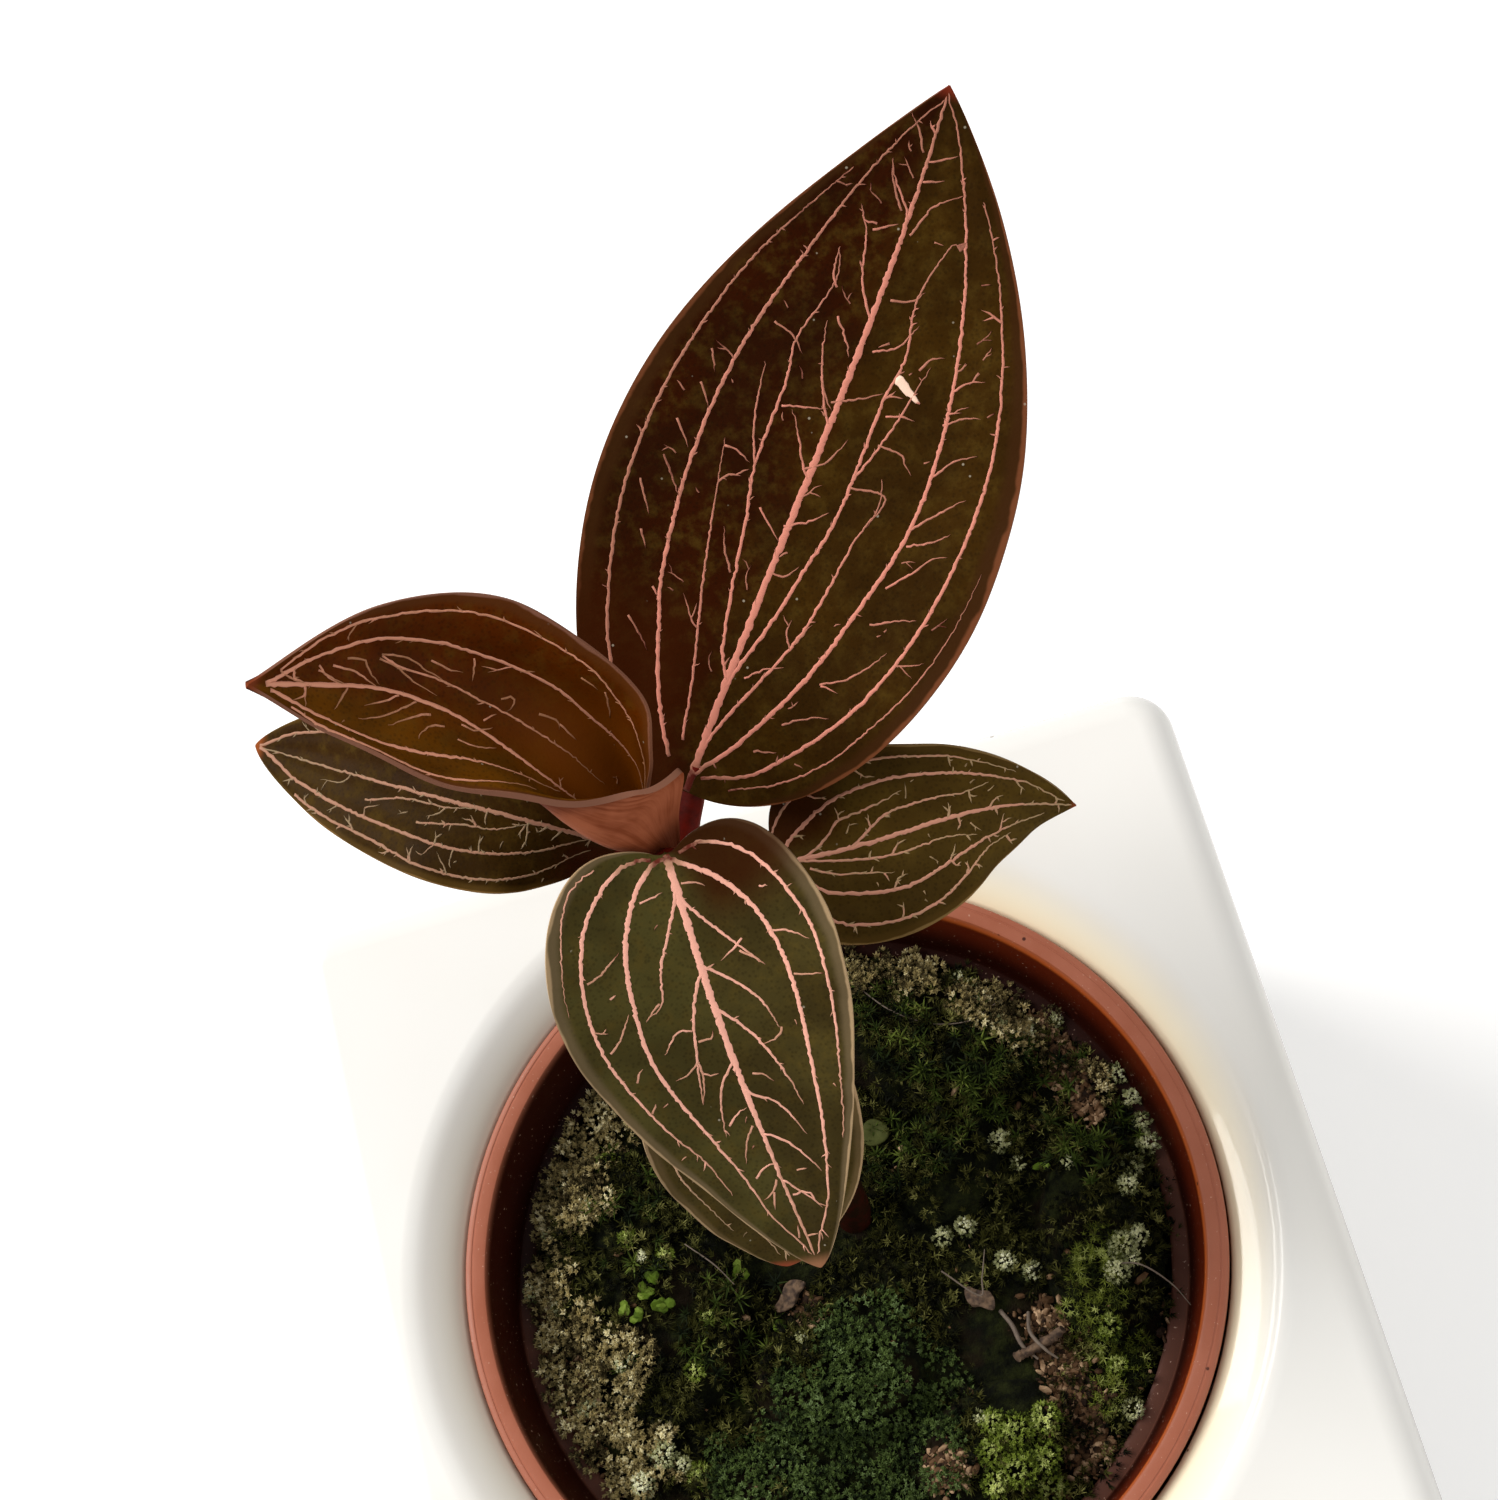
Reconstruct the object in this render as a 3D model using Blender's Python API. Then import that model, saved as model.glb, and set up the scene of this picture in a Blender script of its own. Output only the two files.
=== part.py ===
"""A young jewel orchid in a nursery pot, standing in a square glazed planter.

Metres, +Z up. The origin is the centre of the planter's flat underside. The planter's four
sides face along X and Y, and the plant leans back, towards +Y.
"""

import math

import bmesh
import bpy
import numpy as np
from mathutils import Matrix, Vector, noise

MM = 0.001
GAP = 0.3 * MM  # between a piece and the one that it rests in or on

# Glazed planter: a rounded square box with a round opening in its top
PLANTER_SIDE = 102 * MM
PLANTER_FOOT_SIDE = 97 * MM
PLANTER_HEIGHT = 88 * MM
PLANTER_CORNER = 5 * MM
PLANTER_EDGE = 4 * MM  # rounding of the top's outer edge
PLANTER_FOOT_EDGE = 1.5 * MM
PLANTER_WALL = 6 * MM
PLANTER_FLOOR = 8 * MM
PLANTER_SHOULDER = 9 * MM  # thickness of the top round its opening
OPENING_RADIUS = 40.8 * MM
OPENING_LIP = 4.5 * MM  # rounding of the opening's rim
CAVITY_CORNER = 16 * MM
OPENING_SEGMENTS = 56
OVERSHOOT = 5 * MM  # how far a cutter runs past the face that it opens

# Nursery pot: thin turned plastic with a wide collar at its top
POT_RIM_RADIUS = 40 * MM
POT_RIM_Z = PLANTER_HEIGHT - 1.4 * MM
POT_BASE_Z = PLANTER_FLOOR + GAP
POT_COLLAR_DEPTH = 12 * MM
POT_LEDGE_DEPTH = 8.35 * MM
POT_INNER_RIM = 37.8 * MM
POT_LEDGE_OUTER = 36.1 * MM
POT_LEDGE_INNER = 34.3 * MM
POT_BASE_RADIUS = 28.5 * MM
POT_WALL = 1.4 * MM
DRAIN_RADIUS = 3.2 * MM
DRAIN_CIRCLE = 16 * MM
DRAIN_HOLES = 5  # one in the middle and the rest round it
POT_SEGMENTS = 48

# Soil and moss, measured down from the nursery pot's rim
SOIL_DEPTH = 12 * MM
MAT_THICKNESS = 2.4 * MM
MAT_RADIUS = 33.6 * MM
MAT_PROFILE = [(0.985, 0.0), (1.0, 0.3), (1.0, 0.7), (0.97, 1.0)]  # shares of radius and thickness
MAT_SEGMENTS = 40

# Stem: points from its foot in the soil to its top, in mm, with z measured from the rim
STEM_POINTS = [
    (1.8, 3.4, -24), (2.0, 4.4, -11), (2.0, 8.3, 0), (0.8, 16, 20), (-1.2, 22.6, 38), (-2.6, 26.8, 52),
]
STEM_RADIUS = 2.1 * MM
STEM_TOP_RADIUS = 1.5 * MM
STEM_JOINTS = 5
JOINT_SWELL = 0.25 * MM
STEM_SAMPLES = 21

# Leaves. The midrib is a cubic curve from the blade's base to its tip, in mm, z from the rim.
# wide = half-widths left and right of the midrib in mm; form = the powers that round the base
# and point the tip; lobe = how far the base's lobes reach back; cup = upward curl of each half
# in degrees; facing = azimuth and elevation of the upper side; twist = turn from base to tip;
# foot = how high up the stem the stalk starts, as a share of the stem.
LEAVES = {
    "leaf_large": dict(
        midrib=[(0.9, 34.4, 50.0), (19.4, 52.3, 68.6), (30.3, 61.8, 74.4), (41.1, 75.2, 85.3)],
        wide=(17.8, 18.9), form=(0.50, 0.94), lobe=0.011, cup=(7, 15), facing=(265, 63), twist=13,
        foot=0.78, side=(0.6, 0.8),
    ),
    "leaf_front": dict(
        midrib=[(-1.3, 24.8, 61.4), (-1.3, 13.8, 55.4), (-1.8, 10.6, 51.2), (0.1, -7.6, 31.9)],
        wide=(12.4, 13.6), form=(0.47, 0.73), lobe=0.183, cup=(15, 11), facing=(261, 60), twist=23,
        foot=0.86, side=(0.2, -1.0),
    ),
    "leaf_right": dict(
        midrib=[(6.8, 27.4, 43.7), (20.0, 23.6, 49.0), (25.1, 26.3, 50.6), (35.0, 24.6, 43.1)],
        wide=(8.8, 9.1), form=(0.35, 0.94), lobe=0.026, cup=(14, 11), facing=(275, 61), twist=21,
        foot=0.72, side=(1.0, 0.1),
    ),
    "leaf_left": dict(
        midrib=[(-6.5, 32.5, 45.7), (-12.4, 33.5, 56.9), (-22.0, 39.5, 53.8), (-38.5, 53.4, 46.3)],
        wide=(7.8, 8.9), form=(0.80, 0.73), lobe=0.024, cup=(15, 16), facing=(256, 63), twist=12,
        foot=0.70, side=(-0.8, 0.6),
    ),
    "leaf_under": dict(
        midrib=[(-3.3, 19.0, 37.5), (-1.8, 8.6, 36.0), (-1.6, 3.9, 29.9), (-4.0, -4.0, 19.1)],
        wide=(10.0, 10.7), form=(0.55, 0.66), lobe=0.077, cup=(15, 14), facing=(270, 66), twist=1,
        foot=0.52, side=(-0.1, -1.0),
    ),
}
# The youngest leaf is a funnel round the stem's tip that opens into a blade. Its upper side
# passes through five curves from its base to its tip, in mm, z from the rim: its near margin,
# near wall, midrib, far wall and far margin. Each has a point at each of the stations.
ROLLED_STATIONS = [0, 0.1, 0.2, 0.32, 0.5, 0.7, 0.87, 1]
ROLLED_CURVES = [
    [(-0.5, 27, 56.5), (0.5, 28.5, 60.5), (2.5, 30.5, 65.5), (-1.5, 29, 67),
     (-8.5, 29.5, 69.5), (-17, 32.5, 73), (-24, 37.5, 77.5), (-29, 41.5, 83)],
    [(-2, 26.5, 57), (-3.5, 26.5, 60), (-5.5, 27, 63), (-8, 28.5, 66),
     (-11.5, 32, 69), (-18, 35.5, 72.5), (-24.5, 39.5, 77.5), (-29, 41.5, 83)],
    [(-3, 27.5, 55.5), (-4, 29, 56.5), (-6, 30.5, 59), (-8, 32.5, 61.5),
     (-11, 36, 65.5), (-17, 40, 71.5), (-24, 42, 77.5), (-29, 41.5, 83)],
    [(-2, 28.5, 53.5), (-2, 30.5, 54.5), (-2.5, 32.5, 56.5), (-3, 35, 59),
     (-5, 39, 64), (-14, 44, 71.5), (-23, 44, 78), (-29, 41.5, 83)],
    [(-1, 27.5, 54.5), (-1, 29, 57.5), (-1.5, 31, 60), (-0.5, 33, 64),
     (0.5, 37, 68), (-7, 46, 74), (-18, 47.5, 78), (-29, 41.5, 83)],
]
STALK_WIDTH = 0.9  # half of it; the lengths from here to the cushions are in mm
LEAF_THICKNESS = 0.55
MIDRIB_THICKNESS = 1.3
MIDRIB_SPREAD = 0.16  # as a share of the blade's half-width
BLADE_STATIONS = [0, 0.02, 0.05, 0.09, *np.linspace(0.13, 0.97, 21)]
STALK_SAMPLES = 9
STALK_REACH = 1.5  # how far below the middle of the blade's base the stalk ends
STALK_FORWARD = 0.6  # and how far under the blade
ACROSS = 8
ACROSS_ROLLED = 14
EDGE_SHARE = 0.6  # a blade's thickness at its edges, as a share of its thickness inside them
LEAST_CURL = 0.1  # degrees
SLOPE_STEP = 0.001

# Moss cushions: centre x, y, half-lengths along x and y, height, turn in degrees, in mm
CUSHIONS = {
    "moss_cushion_left": (-21.4, 3.4, 9.8, 14.6, 4.6, 12),
    "moss_cushion_front": (-4.5, -11.0, 9.5, 6.0, 4.4, -8),
    "moss_cushion_near": (-13.0, -23.0, 9.0, 5.2, 3.8, -30),
    "moss_cushion_bright": (9.5, -22.5, 8.6, 6.2, 4.2, 20),
    "moss_cushion_right": (26.2, -4.5, 6.0, 11.5, 4.4, -12),
    "moss_cushion_back": (13.5, 21.8, 13.0, 7.2, 4.0, -34),
    "moss_cushion_middle": (13.0, 6.5, 6.0, 5.5, 3.2, 20),
    "moss_cushion_far": (-11.0, 25.5, 8.5, 5.6, 3.4, 28),
}
# Shares of a cushion's half-lengths and of its height, from its foot up
CUSHION_PROFILE = [(0.95, 0.0), (1.0, 0.25), (0.93, 0.55), (0.75, 0.8), (0.42, 0.95)]
CUSHION_SEGMENTS = 18
CUSHION_WOBBLE = 0.16  # unevenness of the outline
CUSHION_LIFT = 0.25  # unevenness of the height

# Litter that lies on the moss, in mm, z from the moss mat's top
MOSS_TOP = -SOIL_DEPTH / MM + MAT_THICKNESS / MM + 0.6
TWIG = [(14.5, -14.4, 0.9), (17.0, -14.0, 1.4), (20.0, -13.2, 2.4)]
TWIG_RADIUS = 0.7
BARK_CHIPS = [(-7.0, -1.6, 4.2, 35), (12.5, -7.5, 3.6, -50)]  # centre x, y, length, turn in degrees
BARK_SECTIONS = [(-1, 0.5), (-0.5, 1.1), (0.4, 1.2), (1, 0.4)]  # place along a half, half-width
BARK_LIFT = 1.0
BARK_HALF_THICKNESS = 0.7
SEEDLING_LEAVES = [(-8.2, 4.4), (6.6, 12.8)]
SEEDLING_RADIUS = 1.5
SEEDLING_LIFT = 0.9
SEEDLING_PROFILE = [(0.45, -0.25), (0.95, 0.0), (1.0, 0.35), (0.8, 0.75)]  # share of radius, rise


def material(name, colour, roughness, metallic=0.0):
    found = bpy.data.materials.get(name)
    if found:
        return found
    made = bpy.data.materials.new(name)
    made.use_nodes = True
    shader = made.node_tree.nodes["Principled BSDF"]
    shader.inputs["Base Color"].default_value = (*colour, 1)
    shader.inputs["Roughness"].default_value = roughness
    shader.inputs["Metallic"].default_value = metallic
    return made


def add_object(name, mesh_data, finish, smooth_angle=40):
    """Links a bmesh as a named object with one material, faces outward and round parts smooth."""
    bmesh.ops.recalc_face_normals(mesh_data, faces=mesh_data.faces[:])
    mesh = bpy.data.meshes.new(name)
    mesh_data.to_mesh(mesh)
    mesh_data.free()
    mesh.materials.append(finish)
    mesh.shade_smooth()
    mesh.set_sharp_from_angle(angle=math.radians(smooth_angle))
    made = bpy.data.objects.new(name, mesh)
    bpy.context.scene.collection.objects.link(made)
    return made


def loft(rings, apex=None):
    """A closed skin over rings of points: capped at its start, and at its end capped or pointed."""
    data = bmesh.new()
    loops = [[data.verts.new(Vector(p)) for p in ring] for ring in rings]
    count = len(loops[0])
    for low, high in zip(loops, loops[1:]):
        for i in range(count):
            j = (i + 1) % count
            data.faces.new((low[i], low[j], high[j], high[i]))
    data.faces.new(loops[0][::-1])
    if apex is None:
        data.faces.new(loops[-1])
    else:
        point = data.verts.new(Vector(apex))
        for i in range(count):
            data.faces.new((loops[-1][i], loops[-1][(i + 1) % count], point))
    return data


def rounded_square(side, corner, z, steps=4):
    """Points round a square with rounded corners, centred on the Z axis."""
    reach = side / 2 - corner
    points = []
    for quarter, (sx, sy) in enumerate([(1, 1), (-1, 1), (-1, -1), (1, -1)]):
        for i in range(steps + 1):
            angle = math.radians(90 * (quarter + i / steps))
            x = sx * reach + corner * math.cos(angle)
            y = sy * reach + corner * math.sin(angle)
            points.append((x, y, z))
    return points


def circle(radius, z, segments):
    turns = [2 * math.pi * i / segments for i in range(segments)]
    return [(radius * math.cos(turn), radius * math.sin(turn), z) for turn in turns]


def cut(target, cutter):
    """Takes the cutter's volume out of the target."""
    cutter.hide_render = True
    cutter.display_type = "WIRE"
    modifier = target.modifiers.new("cut_" + cutter.name, "BOOLEAN")
    modifier.operation = "DIFFERENCE"
    modifier.solver = "EXACT"
    modifier.object = cutter


def build_planter():
    glaze = material("white_glaze", (0.86, 0.84, 0.78), 0.15)
    rings = []
    for i in range(3):  # rounded foot
        lean = math.radians(45 * i)
        inset = PLANTER_FOOT_EDGE * (1 - math.sin(lean))
        height = PLANTER_FOOT_EDGE * (1 - math.cos(lean))
        rings.append(rounded_square(PLANTER_FOOT_SIDE - 2 * inset, PLANTER_CORNER - inset, height))
    for i in range(5):  # rounded top edge
        lean = math.radians(22.5 * i)
        inset = PLANTER_EDGE * (1 - math.cos(lean))
        height = PLANTER_HEIGHT - PLANTER_EDGE * (1 - math.sin(lean))
        rings.append(rounded_square(PLANTER_SIDE - 2 * inset, PLANTER_CORNER - 0.6 * inset, height))
    planter = add_object("outer_planter", loft(rings), glaze)

    inside = PLANTER_SIDE - 2 * PLANTER_WALL
    foot_inside = PLANTER_FOOT_SIDE - 2 * PLANTER_WALL
    cavity = loft([
        rounded_square(foot_inside, CAVITY_CORNER, PLANTER_FLOOR),
        rounded_square(inside, CAVITY_CORNER, PLANTER_HEIGHT - PLANTER_SHOULDER),
    ])
    cut(planter, add_object("cavity_cutter", cavity, glaze))

    lip = [(OPENING_RADIUS, PLANTER_HEIGHT - PLANTER_SHOULDER - OVERSHOOT)]
    for i in range(6):  # rounded rim of the opening
        lean = math.radians(18 * i)
        radius = OPENING_RADIUS + OPENING_LIP * (1 - math.cos(lean))
        lip.append((radius, PLANTER_HEIGHT - OPENING_LIP * (1 - math.sin(lean))))
    lip.append((OPENING_RADIUS + OPENING_LIP, PLANTER_HEIGHT + OVERSHOOT))
    opening = loft([circle(radius, z, OPENING_SEGMENTS) for radius, z in lip])
    cut(planter, add_object("opening_cutter", opening, glaze))


def build_nursery_pot():
    plastic = material("terracotta_plastic", (0.42, 0.14, 0.08), 0.45)
    rim, base = POT_RIM_Z, POT_BASE_Z
    collar_foot = rim - POT_COLLAR_DEPTH
    outer_top = POT_LEDGE_INNER + POT_WALL
    profile = [
        (POT_BASE_RADIUS, base),
        (outer_top, collar_foot),
        (POT_RIM_RADIUS - 0.6 * MM, collar_foot),
        (POT_RIM_RADIUS, rim - 0.4 * MM),
        (POT_RIM_RADIUS - 0.4 * MM, rim),
        (POT_INNER_RIM + 0.4 * MM, rim),
        (POT_INNER_RIM, rim - 0.5 * MM),
        (POT_LEDGE_OUTER, rim - POT_LEDGE_DEPTH),
        (POT_LEDGE_INNER, rim - POT_LEDGE_DEPTH),
        (POT_BASE_RADIUS - POT_WALL, base + POT_WALL),
    ]
    turned = loft([circle(radius, z, POT_SEGMENTS) for radius, z in profile])
    pot = add_object("nursery_pot", turned, plastic)
    for i in range(DRAIN_HOLES):
        turn = 2 * math.pi * i / (DRAIN_HOLES - 1)
        off_centre = DRAIN_CIRCLE if i else 0
        drill = [circle(DRAIN_RADIUS, z, 12) for z in (base - OVERSHOOT, base + OVERSHOOT)]
        hole = add_object(f"drain_cutter_{i}", loft(drill), plastic)
        hole.location = (off_centre * math.cos(turn), off_centre * math.sin(turn), 0)
        cut(pot, hole)


def smooth(points, places):
    """Points along a Catmull-Rom curve through the given ones; place 1 is the second of them."""
    knots = np.array(points, float)
    knots = np.concatenate([[2 * knots[0] - knots[1]], knots, [2 * knots[-1] - knots[-2]]])
    first = np.clip(np.floor(places).astype(int), 0, len(points) - 2)
    t = (places - first)[..., None]
    a, b, c, d = (knots[first + k] for k in range(4))
    bend = 2 * a - 5 * b + 4 * c - d
    return 0.5 * (2 * b + (c - a) * t + bend * t * t + (3 * b - a - 3 * c + d) * t ** 3)


def smooth_path(points, samples):
    """Points evenly spread, in number, along a smooth curve through the given ones."""
    return [Vector(p) for p in smooth(points, np.linspace(0, len(points) - 1, samples))]


def from_rim(point):
    """A point given in mm, with z from the nursery pot's rim, in metres from the origin."""
    x, y, z = point
    return Vector((x * MM, y * MM, z * MM + POT_RIM_Z))


def stem_path(samples):
    return smooth_path([from_rim(p) for p in STEM_POINTS], samples)


def stem_radius(share):
    """The stem thins upwards and swells a little at each of its joints."""
    joint = max(0.0, math.cos(2 * math.pi * STEM_JOINTS * share)) ** 6
    return STEM_RADIUS + (STEM_TOP_RADIUS - STEM_RADIUS) * share + JOINT_SWELL * joint


def tube(points, radii, segments=10):
    """A tube with a round section along a path, with flat ends."""
    rings = []
    side = Vector((1, 0, 0))
    for i, point in enumerate(points):
        along = (points[min(i + 1, len(points) - 1)] - points[max(i - 1, 0)]).normalized()
        side = (side - side.dot(along) * along).normalized()
        other = along.cross(side)
        ring = []
        for k in range(segments):
            turn = 2 * math.pi * k / segments
            ring.append(point + radii[i] * (math.cos(turn) * side + math.sin(turn) * other))
        rings.append(ring)
    return loft(rings)


def build_stem():
    bark = material("stem_red_brown", (0.12, 0.03, 0.018), 0.5)
    radii = [stem_radius(i / (STEM_SAMPLES - 1)) for i in range(STEM_SAMPLES)]
    add_object("stem", tube(stem_path(STEM_SAMPLES), radii), bark)


def stem_cutter(name, finish):
    """The space that the stem needs where it passes through soil and moss."""
    path = stem_path(STEM_SAMPLES)
    path.insert(0, path[0] - Vector((0, 0, 1.2 * GAP)))
    radii = [stem_radius(0) + 2 * GAP] * len(path)
    return add_object(name, tube(path, radii), finish)


def build_soil():
    earth = material("dark_soil", (0.02, 0.012, 0.008), 0.95)
    low = POT_BASE_Z + POT_WALL + GAP
    high = POT_RIM_Z - SOIL_DEPTH
    wall_height = POT_RIM_Z - POT_LEDGE_DEPTH - POT_BASE_Z - POT_WALL
    spread = (POT_LEDGE_INNER - POT_BASE_RADIUS + POT_WALL) / wall_height

    def inner(z):
        return POT_BASE_RADIUS - POT_WALL + spread * (z - POT_BASE_Z - POT_WALL) - 1.5 * GAP

    levels = [low, (low + high) / 2, high]
    soil = add_object("soil", loft([circle(inner(z), z, POT_SEGMENTS) for z in levels]), earth)
    cut(soil, stem_cutter("soil_cutter", earth))


def build_moss_mat():
    moss = material("dark_moss", (0.02, 0.03, 0.008), 0.95)
    low = POT_RIM_Z - SOIL_DEPTH + GAP
    rings = []
    for share, rise in MAT_PROFILE:
        rings.append(circle(MAT_RADIUS * share, low + MAT_THICKNESS * rise, MAT_SEGMENTS))
    mat = add_object("moss_mat", loft(rings), moss)
    cut(mat, stem_cutter("mat_cutter", moss))


def cushion_ring(centre, half_x, half_y, height, share, rise):
    """One level of a cushion, in mm from its centre: an uneven ellipse."""
    ring = []
    for i in range(CUSHION_SEGMENTS):
        angle = 2 * math.pi * i / CUSHION_SEGMENTS
        east, north = math.cos(angle), math.sin(angle)
        place = Vector((centre.x + 1.3 * east, centre.y + 1.3 * north, 0))
        spread = share * (1 + CUSHION_WOBBLE * noise.noise(place))
        x, y = half_x * spread * east, half_y * spread * north
        lift = 1 + CUSHION_LIFT * noise.noise(Vector((x * 0.4 + centre.x, y * 0.4 + centre.y, 5)))
        ring.append(Vector((x, y, height * rise * lift)))
    return ring


def build_cushion(name, centre_x, centre_y, half_x, half_y, height, turn):
    """A low mound of moss with an uneven outline, flat below."""
    moss = material("moss_green", (0.045, 0.07, 0.015), 0.95)
    base = (MAT_THICKNESS + 2 * GAP - SOIL_DEPTH) / MM
    centre = Vector((centre_x, centre_y, base))
    spin = Matrix.Rotation(math.radians(turn), 3, "Z")
    rings = []
    for share, rise in CUSHION_PROFILE:
        ring = cushion_ring(centre, half_x, half_y, height, share, rise)
        rings.append([from_rim(centre + spin @ point) for point in ring])
    add_object(name, loft(rings, apex=from_rim(centre + Vector((0, 0, height)))), moss)


def unit(vectors):
    return vectors / np.linalg.norm(vectors, axis=-1, keepdims=True)


def cubic(points, t):
    """A cubic curve and its direction, carried straight on before its start."""
    p0, p1, p2, p3 = np.array(points, float)
    t = np.asarray(t, float)[..., None]
    left = 1 - t
    place = left ** 3 * p0 + 3 * t * left ** 2 * p1 + 3 * t * t * left * p2 + t ** 3 * p3
    along = left ** 2 * (p1 - p0) + 2 * t * left * (p2 - p1) + t * t * (p3 - p2)
    place = np.where(t < 0, p0 + 3 * t * (p1 - p0), place)
    along = np.where(t < 0, p1 - p0, along)
    return place, unit(along)


def outline(t, form):
    """Half-width of a blade along its midrib, as a share of its widest."""
    start, end = form
    widest = start / (start + end)
    t = np.clip(t, 0, 1)
    return (t / widest) ** start * ((1 - t) / (1 - widest)) ** end


def pointing(azimuth, elevation):
    """A unit vector, from degrees round from +X and degrees up."""
    turn, rise = math.radians(azimuth), math.radians(elevation)
    return np.array([math.cos(rise) * math.cos(turn), math.cos(rise) * math.sin(turn), math.sin(rise)])


def blade_point(leaf, t, s):
    """Place and upward normal on a blade, t along the midrib and s across it from -1 to 1."""
    t, s = np.broadcast_arrays(np.asarray(t, float), np.asarray(s, float))
    share = outline(t, leaf["form"])
    reach = t - leaf["lobe"] * s * s * share * (1 - t) ** 3
    place, along = cubic(leaf["midrib"], reach)
    face = pointing(*leaf["facing"])
    up = unit(face - np.sum(face * along, -1, keepdims=True) * along)
    side = np.cross(along, up)
    twist = np.radians(leaf["twist"]) * (reach - 0.5)
    cos, sin = np.cos(twist)[..., None], np.sin(twist)[..., None]
    up, side = up * cos + side * sin, side * cos - up * sin
    width = np.hypot(np.where(s < 0, leaf["wide"][0], leaf["wide"][1]) * share, STALK_WIDTH)
    curl = np.radians(np.where(s < 0, leaf["cup"][0], leaf["cup"][1]) * share + LEAST_CURL)
    out = (width * np.sin(curl * np.abs(s)) / curl * np.sign(s))[..., None]
    rise = (width * (1 - np.cos(curl * np.abs(s))) / curl)[..., None]
    lean = (curl * s)[..., None]
    return place + side * out + up * rise, up * np.cos(lean) - side * np.sin(lean)


def slope_normal(place, t, s):
    """A unit vector square to a surface, from its slopes along and across."""
    along = place(t + SLOPE_STEP, s) - place(t - SLOPE_STEP, s)
    across = place(t, np.clip(s + SLOPE_STEP, -1, 1)) - place(t, np.clip(s - SLOPE_STEP, -1, 1))
    return unit(np.cross(across, along))


def blade_side(leaf, t, s):
    """Places and upward normals on an open blade."""
    place, section_normal = blade_point(leaf, t, s)
    if t < SLOPE_STEP:
        return place, section_normal
    normal = slope_normal(lambda u, v: blade_point(leaf, u, v)[0], t, s)
    return place, normal * np.sign(np.sum(normal * section_normal, -1, keepdims=True))


def rolled_point(t, s):
    """A place on the rolled leaf, t from base to tip and s from its near margin to its far one."""
    station = np.interp(t, ROLLED_STATIONS, range(len(ROLLED_STATIONS)))
    curves = [smooth(curve, station) for curve in ROLLED_CURVES]
    return smooth(curves, (s + 1) / 2 * (len(ROLLED_CURVES) - 1))


def rolled_side(t, s):
    """Places and normals on the rolled leaf's upper side, which is the inside of its funnel."""
    return rolled_point(t, s), slope_normal(rolled_point, t, s)


def leaf_ring(side, t, across):
    """A closed ring round a leaf: across its upper side and back along its lower one."""
    s = np.linspace(-1, 1, across + 1)
    top, normal = side(t, s)
    rib = MIDRIB_THICKNESS * (1 - 0.7 * t) * np.exp(-((s / MIDRIB_SPREAD) ** 2))
    rounding = EDGE_SHARE + (1 - EDGE_SHARE) * np.sqrt(np.clip(1 - s * s, 0, 1))
    under = top - normal * (LEAF_THICKNESS * rounding + rib)[:, None]
    return [from_rim(p) for p in [*top, *under[::-1]]]


def stalk_curve(leaf):
    """A cubic curve from beside the stem to just below the base of the blade."""
    base, normal = blade_point(leaf, 0.0, 0.0)
    _, along = cubic(leaf["midrib"], 0.0)
    arrive = unit(0.15 * along + np.array([0, 0, 1.0]))
    under = base + along * STALK_FORWARD - normal * (LEAF_THICKNESS + MIDRIB_THICKNESS) / 2
    end = under - arrive * STALK_REACH
    on_stem = stem_path(101)[round(leaf["foot"] * 100)]
    off_axis = stem_radius(leaf["foot"]) + STALK_WIDTH * MM + 2 * GAP
    away = Vector((*leaf["side"], 0)).normalized() * off_axis
    foot = np.array(on_stem + away - Vector((0, 0, POT_RIM_Z))) / MM
    handle = np.linalg.norm(end - foot) / 3
    leave = unit(np.array([leaf["side"][0] * 0.5, leaf["side"][1] * 0.5, 1.0]))
    return [foot, foot + handle * leave, end - handle * arrive, end]


def build_stalk(name, leaf):
    """The stalk that carries a blade, from beside the stem to the blade's base."""
    bark = material("stem_red_brown", (0.12, 0.03, 0.018), 0.5)
    places, _ = cubic(stalk_curve(leaf), np.linspace(0, 1, STALK_SAMPLES))
    path = [from_rim(place) for place in places]
    add_object(name, tube(path, [STALK_WIDTH * MM] * STALK_SAMPLES, 8), bark)


def build_leaf(name, side, tip, across):
    blade = material("leaf_blade", (0.035, 0.02, 0.008), 0.5)
    rings = [leaf_ring(side, t, across) for t in BLADE_STATIONS]
    add_object(name, loft(rings, apex=from_rim(tip)), blade)


def build_open_leaf(name, leaf):
    tip, _ = blade_point(leaf, 1.0, 0.0)
    build_leaf(name, lambda t, s: blade_side(leaf, t, s), tip, ACROSS)
    build_stalk(name.replace("leaf", "stalk"), leaf)


def on_moss(x, y, z):
    """A point given in mm, with z from the moss mat's top."""
    return from_rim((x, y, z + MOSS_TOP))


def build_twig(wood):
    path = smooth_path([on_moss(*p) for p in TWIG], 7)
    add_object("twig", tube(path, [TWIG_RADIUS * MM] * len(path), 7), wood)


def build_bark_chip(name, x, y, length, turn, wood):
    """A thin pointed chip with a lozenge section."""
    tilt = math.radians(turn)
    rings = []
    for share, half_width in BARK_SECTIONS:
        along = Vector((math.cos(tilt), math.sin(tilt), 0.12)) * length / 2 * share
        across = Vector((-math.sin(tilt), math.cos(tilt), 0)) * half_width
        high = Vector((0, 0, BARK_HALF_THICKNESS))
        middle = Vector((x, y, BARK_LIFT)) + along
        rings.append([on_moss(*(middle + edge)) for edge in (across, high, -across, -high)])
    add_object(name, loft(rings), wood)


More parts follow.
